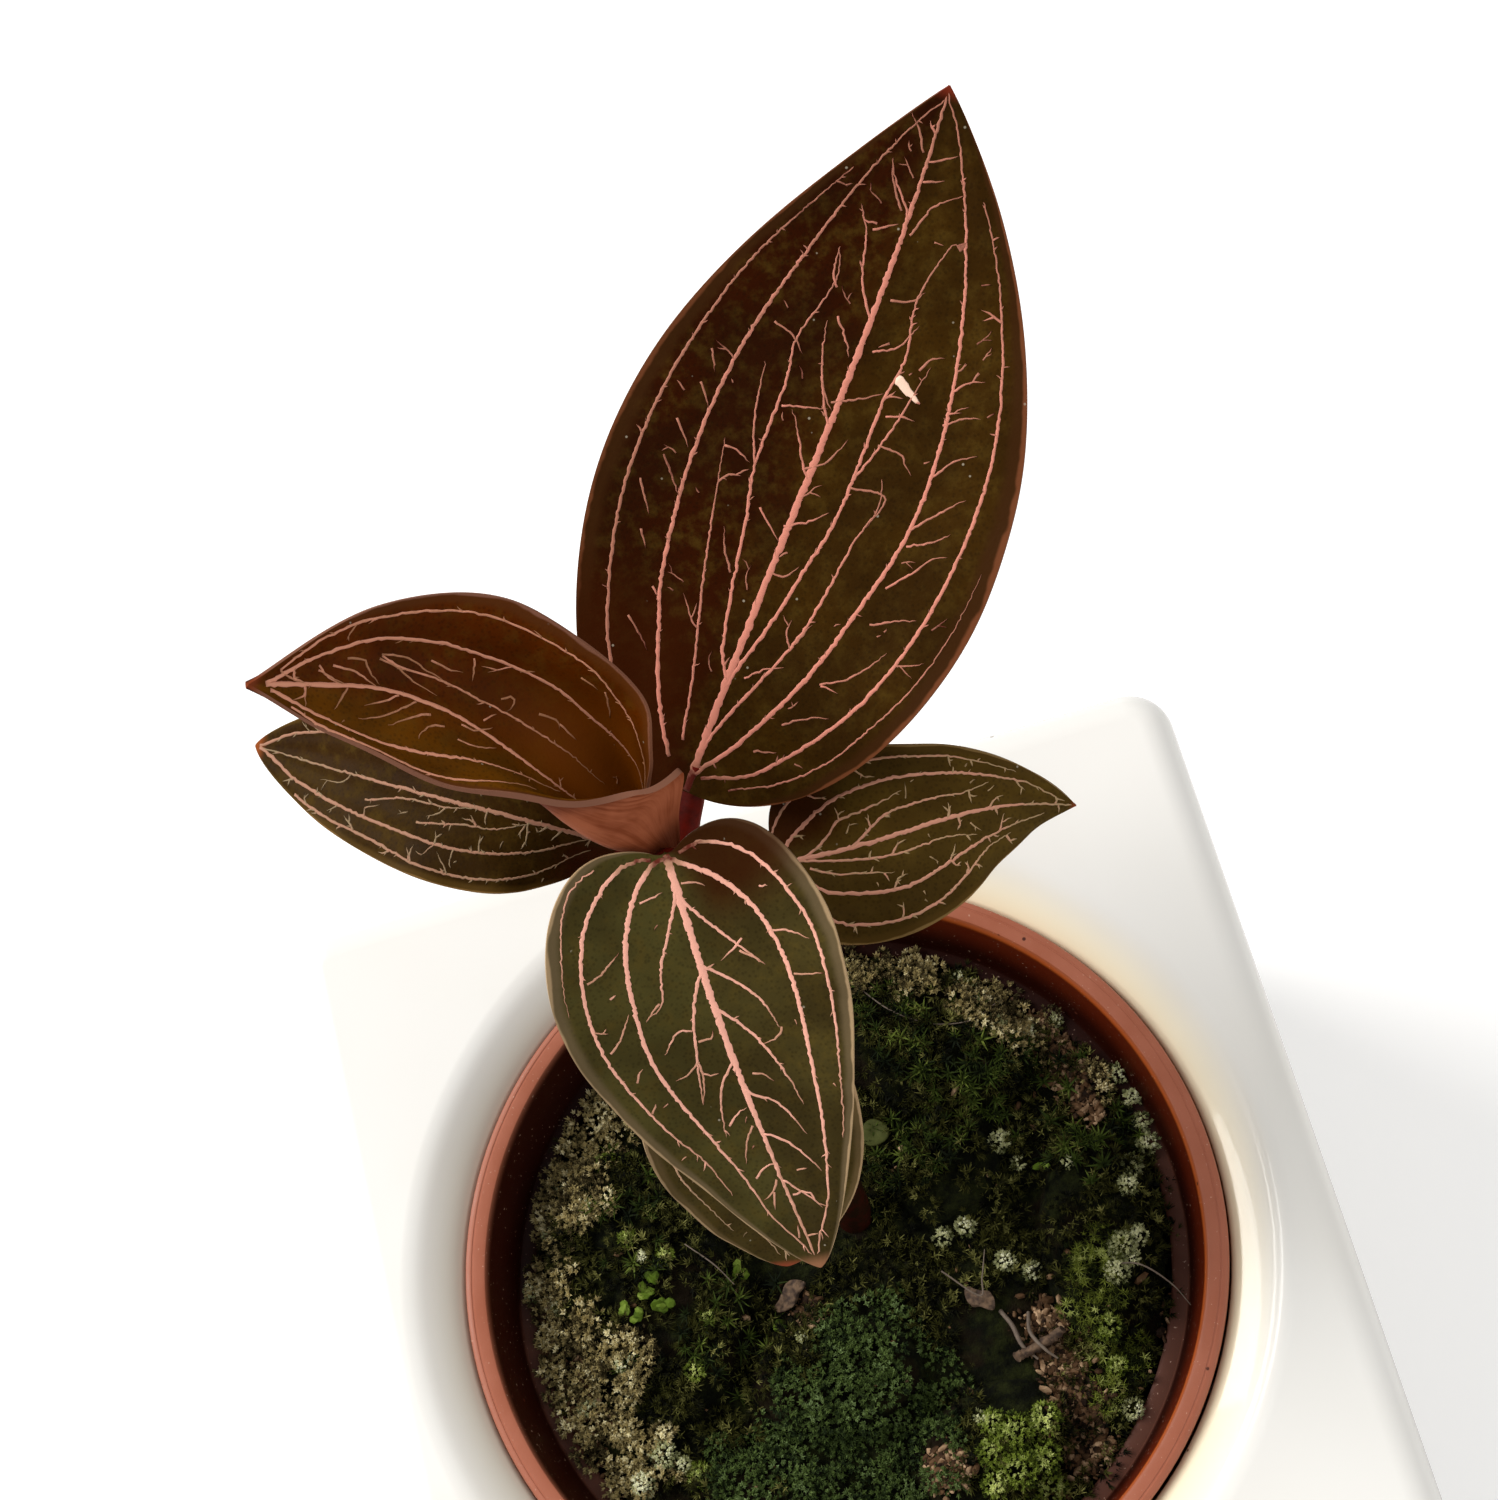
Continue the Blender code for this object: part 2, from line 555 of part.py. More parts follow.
def build_seedling_leaf(name, x, y, green):
    """A small round leaf, like a button."""
    rings = []
    for share, rise in SEEDLING_PROFILE:
        edge = circle(SEEDLING_RADIUS * share, SEEDLING_LIFT + rise, 10)
        rings.append([on_moss(x + px, y + py, z) for px, py, z in edge])
    add_object(name, loft(rings, apex=on_moss(x, y, 2 * SEEDLING_LIFT)), green)


def build_litter():
    """Loose pieces that lie on the moss: a twig, two bark chips and two round seedling leaves."""
    wood = material("dry_wood", (0.2, 0.12, 0.07), 0.85)
    green = material("seedling_green", (0.12, 0.2, 0.03), 0.6)
    build_twig(wood)
    for i, chip in enumerate(BARK_CHIPS):
        build_bark_chip(f"bark_chip_{i + 1}", *chip, wood)
    for i, (x, y) in enumerate(SEEDLING_LEAVES):
        build_seedling_leaf(f"seedling_leaf_{i + 1}", x, y, green)


def main():
    for old in list(bpy.data.objects):
        bpy.data.objects.remove(old, do_unlink=True)
    build_planter()
    build_nursery_pot()
    build_soil()
    build_moss_mat()
    for name, sizes in CUSHIONS.items():
        build_cushion(name, *sizes)
    build_stem()
    for name, leaf in LEAVES.items():
        build_open_leaf(name, leaf)
    build_leaf("leaf_rolled", rolled_side, ROLLED_CURVES[0][-1], ACROSS_ROLLED)
    build_litter()


main()
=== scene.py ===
# %% [markdown]
# # A potted jewel orchid
# The object is a small orchid, grown for its dark leaves with salmon veins. It stands in a thin
# terracotta-coloured nursery pot, which hangs in a square glazed planter. The soil is hidden under
# moss. The measured solids of every piece are loaded first, and stay where they are. Each piece but
# the soil is then modelled again in full detail, in the same place and at the same size.

# %% The measured frame
import math

import bpy
import numpy as np
from mathutils import Matrix, Quaternion, Vector, noise


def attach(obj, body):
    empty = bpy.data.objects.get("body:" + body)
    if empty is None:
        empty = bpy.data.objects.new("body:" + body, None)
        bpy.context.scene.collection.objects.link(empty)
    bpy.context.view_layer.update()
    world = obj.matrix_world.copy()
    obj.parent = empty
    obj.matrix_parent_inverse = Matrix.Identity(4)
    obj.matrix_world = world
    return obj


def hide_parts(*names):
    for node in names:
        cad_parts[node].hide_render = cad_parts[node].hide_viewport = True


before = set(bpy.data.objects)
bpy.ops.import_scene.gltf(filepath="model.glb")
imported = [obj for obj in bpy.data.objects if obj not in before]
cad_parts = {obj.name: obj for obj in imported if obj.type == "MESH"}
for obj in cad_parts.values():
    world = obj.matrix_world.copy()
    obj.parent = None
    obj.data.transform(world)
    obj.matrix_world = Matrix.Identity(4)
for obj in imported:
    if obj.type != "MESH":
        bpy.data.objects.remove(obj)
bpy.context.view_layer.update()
MM = 0.001

# %% [markdown]
# ## The maker's tools
# A few short helpers carry the whole lesson. They clear the selection, because every operator acts
# on all that is selected, open a piece in Edit Mode, apply a modifier, or read and write a shape.
# `hand_over` gives a piece its finish and says which body it rides on and which solid it stands
# for.

# %% Helpers for pieces


def clear_selection():
    if bpy.context.object and bpy.context.object.mode != "OBJECT":
        bpy.ops.object.mode_set(mode="OBJECT")
    bpy.ops.object.select_all(action="DESELECT")


def only(piece):
    clear_selection()
    piece.select_set(True)
    bpy.context.view_layer.objects.active = piece
    return piece


def named(name):
    piece = bpy.context.object
    piece.name = name
    piece.data.name = name
    return piece


def linked(name, data):
    """A new object that holds the data."""
    piece = bpy.data.objects.new(name, data)
    bpy.context.scene.collection.objects.link(piece)
    return only(piece)


def mesh_piece(name, points, faces, edges=()):
    """A new mesh object from points in metres and lists of corners."""
    data = bpy.data.meshes.new(name)
    data.from_pydata([tuple(p) for p in points], edges, [tuple(f) for f in faces])
    data.update()
    return linked(name, data)


def open_up(piece):
    """Opens a piece in Edit Mode with all of it selected."""
    only(piece)
    bpy.ops.object.mode_set(mode="EDIT")
    bpy.ops.mesh.select_all(action="SELECT")


def mend(piece, merge=0.0):
    """Merges points that lie within the given distance, and turns all faces outwards."""
    open_up(piece)
    if merge:
        bpy.ops.mesh.remove_doubles(threshold=merge)
    bpy.ops.mesh.normals_make_consistent(inside=False)
    bpy.ops.object.mode_set(mode="OBJECT")


def soften(piece, degrees):
    """Smooth shading across every edge that bends less than the angle."""
    only(piece)
    bpy.ops.object.shade_smooth_by_angle(angle=math.radians(degrees))


def apply_modifier(piece, kind, **settings):
    only(piece)
    modifier = piece.modifiers.new(kind, kind)
    for key, value in settings.items():
        setattr(modifier, key, value)
    bpy.ops.object.modifier_apply(modifier=modifier.name)


def settle(piece):
    """Writes the object's place, turn and size into its mesh."""
    only(piece)
    bpy.ops.object.transform_apply(location=True, rotation=True, scale=True)
    return piece


def points_of(piece):
    flat = np.empty(len(piece.data.vertices) * 3)
    piece.data.vertices.foreach_get("co", flat)
    return flat.reshape(-1, 3)


def put_points(piece, points):
    piece.data.vertices.foreach_set("co", np.asarray(points, float).ravel())
    piece.data.update()


def put_tones(piece, tones):
    """Every point gets a tone, which a finish can read."""
    layer = piece.data.attributes.new("tone", "FLOAT", "POINT")
    layer.data.foreach_set("value", tones)


def unit(vectors):
    return vectors / np.linalg.norm(vectors, axis=-1, keepdims=True)


def swing(x, y, degrees):
    """Places turned round the origin."""
    c, s = math.cos(math.radians(degrees)), math.sin(math.radians(degrees))
    return x * c - y * s, x * s + y * c


def hand_over(piece, slot, *finishes, stands_for=()):
    piece.data.materials.clear()
    for finish in finishes:
        piece.data.materials.append(finish.material)
    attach(piece, "root")
    if stands_for:
        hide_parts(*stands_for)
    size = [round(v / MM, 1) for v in piece.dimensions]
    print(piece.name, "size", size, "mm, faces", len(piece.data.polygons))


# %% [markdown]
# ## Finishes
# A finish is a Principled shader with a little network of procedural nodes. Its methods keep each
# network readable: `step` adds one node, `blend` mixes two colours, `coats` lays one tint over
# another, and `band` turns a value into a soft mask. A value that is the same all over goes
# straight on the shader.

# %% Finishes and their networks


def dye(card):
    """A colour as a dyer would read it off a card, 0 to 255, as linear light."""
    shares = [v / 255 for v in card]
    return (*[v / 12.92 if v < 0.04045 else ((v + 0.055) / 1.055) ** 2.4 for v in shares], 1)


class Finish:
    """One material, and a short method for each kind of node in its network."""

    def __init__(self, name, **sockets):
        self.material = bpy.data.materials.new(name)
        self.material.use_nodes = True
        self.nodes = self.material.node_tree.nodes
        self.set(**sockets)

    def feed(self, node_input, value):
        if isinstance(value, bpy.types.NodeSocket):
            self.material.node_tree.links.new(value, node_input)
        else:
            node_input.default_value = value

    def set(self, **sockets):
        """Links or sets inputs of the shader itself."""
        for key, value in sockets.items():
            self.feed(self.nodes["Principled BSDF"].inputs[key.replace("_", " ")], value)

    def step(self, kind, inputs, output=0, **settings):
        """Adds one node; inputs go in by name or number. Returns one of its outputs."""
        made = self.nodes.new("ShaderNode" + kind)
        for key, value in settings.items():
            setattr(made, key, value)
        for key, value in inputs.items():
            self.feed(made.inputs[key], value)
        return made.outputs[output]

    def place(self, output="Object"):
        return self.step("TexCoord", {}, output)

    def parts(self, vector):
        """The x, y and z of a vector."""
        return self.step("SeparateXYZ", {0: vector}).node.outputs

    def from_axis(self, x, y):
        """The distance from the upright axis."""
        flat = self.step("CombineXYZ", {0: x, 1: y})
        return self.step("VectorMath", {0: flat}, "Value", operation="LENGTH")

    def tone(self):
        return self.step("Attribute", {}, "Fac", attribute_name="tone")

    def sums(self, operation, *values):
        return self.step("Math", dict(enumerate(values)), operation=operation)

    def times(self, first, second):
        return self.sums("MULTIPLY", first, second)

    def band(self, value, start, end, low=0.0, high=1.0):
        """A soft mask: low before start, high after end."""
        inputs = {"Value": value, "From Min": start, "From Max": end, "To Min": low, "To Max": high}
        return self.step("MapRange", inputs, interpolation_type="SMOOTHSTEP")

    def blend(self, share, first, second):
        """Mixes two colours; a colour that is three numbers is read as a dyer's card."""
        first, second = [dye(c) if isinstance(c, tuple) else c for c in (first, second)]
        return self.step("Mix", {0: share, 6: first, 7: second}, 2, data_type="RGBA")

    def coats(self, colour, *coats):
        """Lays tints over a colour, one after the other; a coat is (share, tint)."""
        for share, tint in coats:
            colour = self.blend(share, colour, tint)
        return colour

    def grain(self, place, scale, detail=3.0, roughness=0.6):
        """Smooth noise; scale counts its waves in a metre."""
        return self.step("TexNoise", {"Vector": place, "Scale": scale, "Detail": detail,
                                      "Roughness": roughness})

    def cells(self, place, scale):
        return self.step("TexVoronoi", {"Vector": place, "Scale": scale})

    def relief(self, height, depth, strength=1.0, **normal):
        """Bumps of the given depth; Normal is a relief that lies under this one."""
        return self.step("Bump", {"Height": height, "Distance": depth, "Strength": strength, **normal})


# %% [markdown]
# ## Camera and light
# The plant is looked at from above and in front, so that the leaves face the viewer. The camera
# comes first, because everything after it is judged through it. The light is a large soft lamp on
# the left, a weaker one on the right, and an even white surround.

# %% Camera
CAMERA_PLACE = (0.0190, -0.0574, 0.3670)
CAMERA_ABOVE = math.radians(67.67)  # above the horizon
CAMERA_AROUND = math.radians(6.94)
CAMERA_ROLL = math.radians(-23.2)
LENS = 64.8

clear_selection()
bpy.ops.object.camera_add(location=CAMERA_PLACE)
camera = bpy.context.object
camera.name = "camera"
towards_camera = Vector((math.sin(CAMERA_AROUND) * math.cos(CAMERA_ABOVE),
                         -math.cos(CAMERA_AROUND) * math.cos(CAMERA_ABOVE),
                         math.sin(CAMERA_ABOVE)))
camera.rotation_mode = "QUATERNION"
level = (-towards_camera).to_track_quat("-Z", "Y")
camera.rotation_quaternion = level @ Quaternion((0, 0, 1), CAMERA_ROLL)
camera.data.lens = LENS
camera.data.clip_start = 0.01
bpy.context.scene.camera = camera
print("camera", tuple(round(v, 4) for v in camera.location))

# %% Lamps and surround
LAMPS = [  # name, place, height of its aim, size and power, tint
    ("window_lamp", (-0.78, 0.48, 0.86), 0.1, 0.75, 15.2, (1.0, 0.975, 0.94)),
    ("room_lamp", (0.65, -0.35, 0.45), 0.08, 0.6, 1.6, (1.0, 0.96, 0.9)),
]
SURROUND_LIGHT = 0.5  # what the surround gives the object; the camera sees it white
for name, place, aim, size, power, tint in LAMPS:
    clear_selection()
    bpy.ops.object.light_add(type="AREA", location=place)
    lamp = bpy.context.object
    lamp.name = name
    lamp.rotation_euler = (Vector((0, 0, aim)) - Vector(place)).to_track_quat("-Z", "Y").to_euler()
    lamp.data.shape = "DISK"
    lamp.data.size = size
    lamp.data.energy = power
    lamp.data.color = tint

world = bpy.data.worlds.new("surround")
bpy.context.scene.world = world
world.use_nodes = True
nodes = world.node_tree.nodes
link = world.node_tree.links.new
rays = nodes.new("ShaderNodeLightPath")
seen = nodes.new("ShaderNodeMath")
seen.operation = "MAXIMUM"
strength = nodes.new("ShaderNodeMapRange")
strength.inputs["To Min"].default_value = SURROUND_LIGHT
strength.inputs["To Max"].default_value = 1.0
nodes["Background"].inputs["Color"].default_value = (1, 1, 1, 1)
link(rays.outputs["Is Camera Ray"], seen.inputs[0])
link(rays.outputs["Is Transmission Ray"], seen.inputs[1])
link(seen.outputs[0], strength.inputs["Value"])
link(strength.outputs[0], nodes["Background"].inputs["Strength"])
bpy.context.scene.view_settings.view_transform = "Standard"
print("lamps", [lamp[0] for lamp in LAMPS])

# %% Floor
FLOOR_GLOW = 0.3  # seen by the camera only
clear_selection()
bpy.ops.mesh.primitive_plane_add(size=4)
floor = named("floor")
chalk = Finish("floor_white", Base_Color=(0.86, 0.86, 0.86, 1), Roughness=0.8,
               Emission_Color=(1, 1, 1, 1))
chalk.set(Emission_Strength=chalk.times(chalk.step("LightPath", {}, "Is Camera Ray"), FLOOR_GLOW))
floor.data.materials.append(chalk.material)

# %% [markdown]
# ## The planter
# The planter is slip-cast clay under a thick white glaze, so all its edges are soft and nothing on
# it is quite straight. A cube is drawn in towards its foot and its edges are bevelled. The inside
# is cut out with two tools: a tapered block for the cavity, and a turned one whose flare rounds
# the lip of the opening, where the nursery pot hangs.

# %% Planter body
PLANTER_SIDE = 102 * MM
PLANTER_FOOT = 97 * MM
PLANTER_HEIGHT = 88 * MM
PLANTER_CORNER = 5 * MM
PLANTER_EDGE = 4 * MM
FOOT_EDGE = 1.5 * MM
CAVITY_FOOT = 85 * MM
CAVITY_TOP = 90 * MM
CAVITY_CORNER = 16 * MM
FLOOR_THICKNESS = 8 * MM
TOP_THICKNESS = 9 * MM
OPENING = 40.35 * MM
# the painted shade and painted light round the opening reach this far out
LIP = 6.075 * MM  # how far out from the opening the glaze is tinted


def pick(piece, kind, rule):
    """Opens a piece in Edit Mode with the vertices or edges whose places pass the rule."""
    only(piece)
    bpy.ops.object.mode_set(mode="EDIT")
    bpy.ops.mesh.select_mode(type={"vertices": "VERT", "edges": "EDGE"}[kind])
    bpy.ops.mesh.select_all(action="DESELECT")
    bpy.ops.object.mode_set(mode="OBJECT")
    mesh = piece.data
    for item in getattr(mesh, kind):
        ends = [item.index] if kind == "vertices" else item.vertices
        item.select = rule([mesh.vertices[i].co for i in ends])
    bpy.ops.object.mode_set(mode="EDIT")


def upright(ends):
    return abs(ends[0].z - ends[1].z) > 0.9 * (ends[0] - ends[1]).length


def block(name, low, high, foot_side, top_side, corner, segments):
    """A tapered block with rounded upright edges."""
    clear_selection()
    bpy.ops.mesh.primitive_cube_add(size=1, location=(0, 0, (low + high) / 2))
    piece = named(name)
    piece.scale = (top_side, top_side, high - low)
    settle(piece)
    pick(piece, "vertices", lambda at: at[0].z < (low + high) / 2)
    shrink = foot_side / top_side
    bpy.ops.transform.resize(value=(shrink, shrink, 1))
    pick(piece, "edges", upright)
    bpy.ops.mesh.bevel(offset=corner, segments=segments, profile=0.5)
    bpy.ops.object.mode_set(mode="OBJECT")
    return piece


planter = block("planter", 0, PLANTER_HEIGHT, PLANTER_FOOT, PLANTER_SIDE, PLANTER_CORNER, 10)
pick(planter, "edges", lambda ends: min(p.z for p in ends) > PLANTER_HEIGHT - MM)
bpy.ops.mesh.bevel(offset=PLANTER_EDGE, segments=10, profile=0.5)
pick(planter, "edges", lambda ends: max(p.z for p in ends) < 0.01 * MM)
bpy.ops.mesh.bevel(offset=FOOT_EDGE, segments=4, profile=0.5)
bpy.ops.object.mode_set(mode="OBJECT")
print("planter body faces", len(planter.data.polygons))

# %% Planter hollow


def turned(name, profile, steps):
    """Spins a profile of (radius, height) points once round the upright axis."""
    edges = [(i, i + 1) for i in range(len(profile) - 1)]
    piece = mesh_piece(name, [(radius, 0, height) for radius, height in profile], [], edges)
    open_up(piece)
    bpy.ops.mesh.spin(steps=steps, angle=2 * math.pi, center=(0, 0, 0), axis=(0, 0, 1))
    mend(piece, 0.01 * MM)
    return piece


def carve(piece, cutter):
    apply_modifier(piece, "BOOLEAN", operation="DIFFERENCE", object=cutter, solver="EXACT")
    bpy.data.objects.remove(cutter)


carve(planter, block("cavity_tool", FLOOR_THICKNESS, PLANTER_HEIGHT - TOP_THICKNESS, CAVITY_FOOT,
                     CAVITY_TOP, CAVITY_CORNER, 12))
SLOPE = [  # the flare round the opening: mm out from its edge, and mm below the planter's top
    (0, 3.6), (0.1, 3.1), (0.5, 2.7), (3.9, 0.8), (4.6, 0.45), (5.3, 0.2), (6, 0.05), (6.5, 0)]
flare = [(OPENING + out * MM, PLANTER_HEIGHT - down * MM) for out, down in SLOPE]
TOOL_LOW, TOOL_HIGH = PLANTER_HEIGHT - 18 * MM, PLANTER_HEIGHT + 5 * MM
flare = [(0, TOOL_LOW), (OPENING, TOOL_LOW), *flare, (flare[-1][0], TOOL_HIGH), (0, TOOL_HIGH)]
carve(planter, turned("opening_tool", flare, 128))
soften(planter, 35)
apply_modifier(planter, "WEIGHTED_NORMAL", keep_sharp=True, weight=90)

# %% [markdown]
# The glaze is a cream-white glass over pale clay. It pools a little, so its surface has long soft
# waves and the finest orange-peel. Round the opening the flare carries painted shade, greyer on the
# left, and painted light, warmer and brighter on the right. Here and there the glaze holds a
# pinprick or a crumb of soil. The walls carry painted shade, a little darker than the top. The foot
# ring is left unglazed.

# %% Glaze
glaze = Finish("white_glaze", IOR=1.5, Coat_Weight=0.35, Coat_Roughness=0.04)
at = glaze.place()
x, y, z = glaze.parts(at)
cloud = glaze.band(glaze.grain(at, 30, 2), 0.35, 0.7)
lip = glaze.band(glaze.from_axis(x, y), OPENING, OPENING + LIP, 1, 0)
# painted shade on the left of the flare, greyer, and painted light on the right, warmer and brighter
lip_painted_shade_and_light = glaze.blend(glaze.band(x, -18 * MM, 22 * MM), (198, 194, 180), (255, 243, 210))
# painted shade: the walls a little darker than the top
wall = glaze.band(z, PLANTER_HEIGHT - 30 * MM, PLANTER_HEIGHT - 3 * MM, 1, 0)
pin = glaze.times(glaze.band(glaze.cells(at, 260), 0.05, 0.075, 1, 0),
                  glaze.band(glaze.grain(at, 90, 0), 0.68, 0.7))
bare = glaze.band(z, 0.5 * MM, 1.1 * MM, 1, 0)
cream = glaze.coats((240, 239, 235), (cloud, (236, 234, 228)), (lip, lip_painted_shade_and_light),
                    (wall, (214, 211, 203)), (pin, (120, 100, 80)), (bare, (205, 190, 165)))
waves = glaze.relief(glaze.grain(at, 45, 1), 0.5 * MM, 0.25)
peel = glaze.relief(glaze.grain(at, 900, 1), 0.02 * MM, 0.3, Normal=waves)
glaze.set(Base_Color=cream, Roughness=glaze.band(z, 0.5 * MM, 1.1 * MM, 0.8, 0.24), Normal=peel)
hand_over(planter, "white_glaze", glaze, stands_for=["outer_planter"])

# %% [markdown]
# ## The nursery pot
# A nursery pot is pressed from thin plastic: a flat rolled rim, a short collar, a ledge where the
# next pot in a stack rests, and a tapered wall with drain holes. A profile of the wall is spun
# round, which is how the mould itself is cut, and the holes are punched out afterwards.

# %% Nursery pot
RIM = PLANTER_HEIGHT - 1.4 * MM  # height of the nursery pot's rim above the floor
POT_BASE = 8.3 * MM
POT_FLOOR = POT_BASE + 1.4 * MM
HOLE_RADIUS = 3.2 * MM
HOLE_RING = 16 * MM  # one hole in the middle, and four this far from it
rim_profile = [  # radius, and height above the rim, in mm
    (34.9, -12), (35.5, -12), (39.2, -12), (39.4, -11.8), (39.7, -1.9), (40.05, -1.5),
    (40.15, -0.6), (40.0, -0.15), (39.7, 0), (39.45, 0), (39.38, -0.06), (39.25, -0.06),
    (39.18, 0), (38.3, 0), (37.98, -0.12), (37.82, -0.45), (37.7, -1.0), (36.25, -8.0),
    (36.0, -8.35), (34.7, -8.35), (34.3, -8.6)]
wall = [(radius * MM, RIM + height * MM) for radius, height in rim_profile]
outside = [(0, POT_BASE), (27.8 * MM, POT_BASE), (28.5 * MM, POT_BASE + 0.7 * MM)]
inside = [(27.6 * MM, POT_FLOOR + MM), (27.0 * MM, POT_FLOOR), (0, POT_FLOOR)]
pot = turned("nursery_pot_shell", outside + wall + inside, 144)
for hole in range(5):
    turn = math.pi / 2 * hole
    away = HOLE_RING if hole else 0
    clear_selection()
    bpy.ops.mesh.primitive_cylinder_add(
        vertices=32, radius=HOLE_RADIUS, depth=6 * MM,
        location=(away * math.cos(turn), away * math.sin(turn), POT_BASE))
    carve(pot, named("drain_tool"))
soften(pot, 35)

# %% [markdown]
# The plastic is dyed through. Inside the pot the wall carries painted shade, darker on the left and
# deeper down, and the ledge is painted darker at the back. Just under the rim, stronger on the right,
# a painted orange-red glow stands for light shining through the thin wall. Years of handling leave
# it satin, with pale scuffs, dark nicks and dust on top of the rim.

# %% Pot plastic
plastic = Finish("terracotta_plastic", IOR=1.46)
at = plastic.place()
x, y, z = plastic.parts(at)
cloudy = plastic.grain(at, 160, 4)
out = plastic.from_axis(x, y)
# painted shade: the inner wall darker on the left than on the right, and darker deeper down
upper_wall_painted_shade = plastic.blend(plastic.band(x, -20 * MM, 24 * MM), (44, 11, 3), (88, 28, 9))
deep = plastic.band(z, RIM - 7 * MM, RIM - 1.2 * MM)
wall_painted_shade_and_glow = plastic.blend(deep, (34, 7, 2), upper_wall_painted_shade)
# painted light: an orange-red glow in the thin wall just under the rim, stronger on the right
painted_glow = plastic.times(plastic.band(z, RIM - 1.6 * MM, RIM - 0.7 * MM),
                    plastic.band(x, -12 * MM, 30 * MM))
wall_painted_shade_and_glow = plastic.blend(painted_glow, wall_painted_shade_and_glow, (196, 92, 30))
wall = plastic.band(out, 37.6 * MM, 38.1 * MM, 1, 0)
ledge = plastic.times(plastic.band(out, 36.3 * MM, 36.0 * MM),
                      plastic.band(z, RIM - 8.8 * MM, RIM - 8.4 * MM))
# painted shade: the ledge darker at the back
ledge_painted_shade = plastic.blend(plastic.band(y, -2 * MM, 10 * MM), (88, 54, 43), (36, 13, 8))
nick = plastic.times(plastic.band(plastic.cells(at, 420), 0.06, 0.11, 1, 0),
                     plastic.band(plastic.grain(at, 140, 0), 0.52, 0.56))
dust = plastic.times(plastic.band(plastic.grain(at, 2600, 2), 0.68, 0.76), 0.5)
clay = plastic.coats((150, 84, 60), (cloudy, (172, 104, 80)), (wall, wall_painted_shade_and_glow),
                     (ledge, ledge_painted_shade), (nick, (74, 34, 24)), (dust, (214, 178, 156)))
plastic.set(Base_Color=clay, Roughness=plastic.band(cloudy, 0.3, 0.7, 0.34, 0.52),
            Specular_IOR_Level=plastic.band(out, 37.6 * MM, 38.1 * MM, 0.1, 0.3),
            Normal=plastic.relief(plastic.grain(at, 1500, 2), 0.04 * MM, 0.4))
hand_over(pot, "terracotta_plastic", plastic, stands_for=["nursery_pot"])

# %% [markdown]
# ## The soil
# Potting mix is bark dust and peat. It shows only through the drain holes and in gaps of the moss,
# so its solid stays and gets a crumbly finish.

# %% Soil
earth = Finish("dark_soil", Roughness=0.95)
at = earth.place()
mixed = earth.grain(at, 500, 4)
crumbs = earth.sums("ADD", earth.cells(at, 900), mixed)
earth.set(Base_Color=earth.blend(earth.band(mixed, 0.4, 0.65), (26, 17, 12), (66, 45, 31)),
          Normal=earth.relief(crumbs, 0.8 * MM))
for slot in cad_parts["soil"].material_slots:
    slot.material = earth.material
print("soil keeps its solid")

# %% [markdown]
# ## The moss bed
# The moss is a living mat with eight raised cushions. Under the shoots it is nearly black. The mat
# is a disc filled with fine rings, given its thickness and raised and lowered by noise, and each
# cushion is a sphere pressed flat, given its outline and roughened. One rule, `moss_level`, gives
# the height of the moss at any point, so that shoots planted later stand on it and not in the air.

# %% Height of the moss
MOSS_TOP = -9.0  # mm from the rim of the nursery pot
MAT_RADIUS = 33.6
CUSHIONS = {  # centre x, y, half-length, half-width, height in mm, turn in degrees
    "left": (-21.4, 3.4, 9.8, 14.6, 4.6, 12),
    "front": (-4.5, -11, 9.5, 6, 4.4, -8),
    "near": (-13, -23, 9, 5.2, 3.8, -30),
    "bright": (9.5, -22.5, 8.6, 6.2, 4.2, 20),
    "right": (26.2, -4.5, 6, 11.5, 4.4, -12),
    "back": (13.5, 21.8, 13, 7.2, 4, -34),
    "middle": (13, 6.5, 6, 5.5, 3.2, 20),
    "far": (-11, 25.5, 8.5, 5.6, 3.4, 28),
}
DOME_REACH = [0, 0.42, 0.75, 0.93, 1.0, 1.04]
DOME_RISE = [1, 0.95, 0.8, 0.55, 0.2, 0]


def dome_share(cushion, x, y):
    """How far out a point is in a cushion: 0 in the middle, 1 at its edge."""
    cx, cy, long, wide, _, turn = cushion
    dx, dy = swing(x - cx, y - cy, -turn)
    return np.hypot(dx / long, dy / wide)


def moss_level(x, y):
    """Height of the moss in mm above the nursery pot's rim (so mostly below 0)."""
    level = np.full(np.shape(x), MOSS_TOP)
    for cushion in CUSHIONS.values():
        rise = np.interp(dome_share(cushion, x, y), DOME_REACH, DOME_RISE)
        level = np.maximum(level, MOSS_TOP + cushion[4] * rise)
    return level


def at_rim(points):
    """Points in mm from the rim's height, as metres from the floor."""
    return np.asarray(points, float) * MM + np.array([0, 0, RIM])


def rough(points, size, depth, seed):
    """Uneven heights from smooth noise, one for each point in mm."""
    shift = Vector((seed * 7.3, seed * 3.1, seed * 5.7))
    return np.array([depth * noise.fractal(Vector(p) / size + shift, 1.0, 2.0, 3) for p in points])


# %% Mat and cushions
MAT_THICKNESS = 2.4
MAT_RINGS, RING_WIDTH = 26, 1.2

clear_selection()
bpy.ops.mesh.primitive_circle_add(vertices=96, radius=MAT_RADIUS, fill_type="NGON")
mat = named("moss_floor")
open_up(mat)
for _ in range(MAT_RINGS):
    bpy.ops.mesh.inset(thickness=RING_WIDTH)
apply_modifier(mat, "SOLIDIFY", thickness=MAT_THICKNESS, offset=-1)
shape = points_of(mat)
upper = shape[:, 2] > -0.5
shape[:, 2] += MOSS_TOP
bumps = rough(shape, 2.2, 0.8, 1)
shape[upper, 2] += np.minimum(bumps[upper], 0.35)
put_points(mat, at_rim(shape))
bpy.ops.object.shade_smooth()

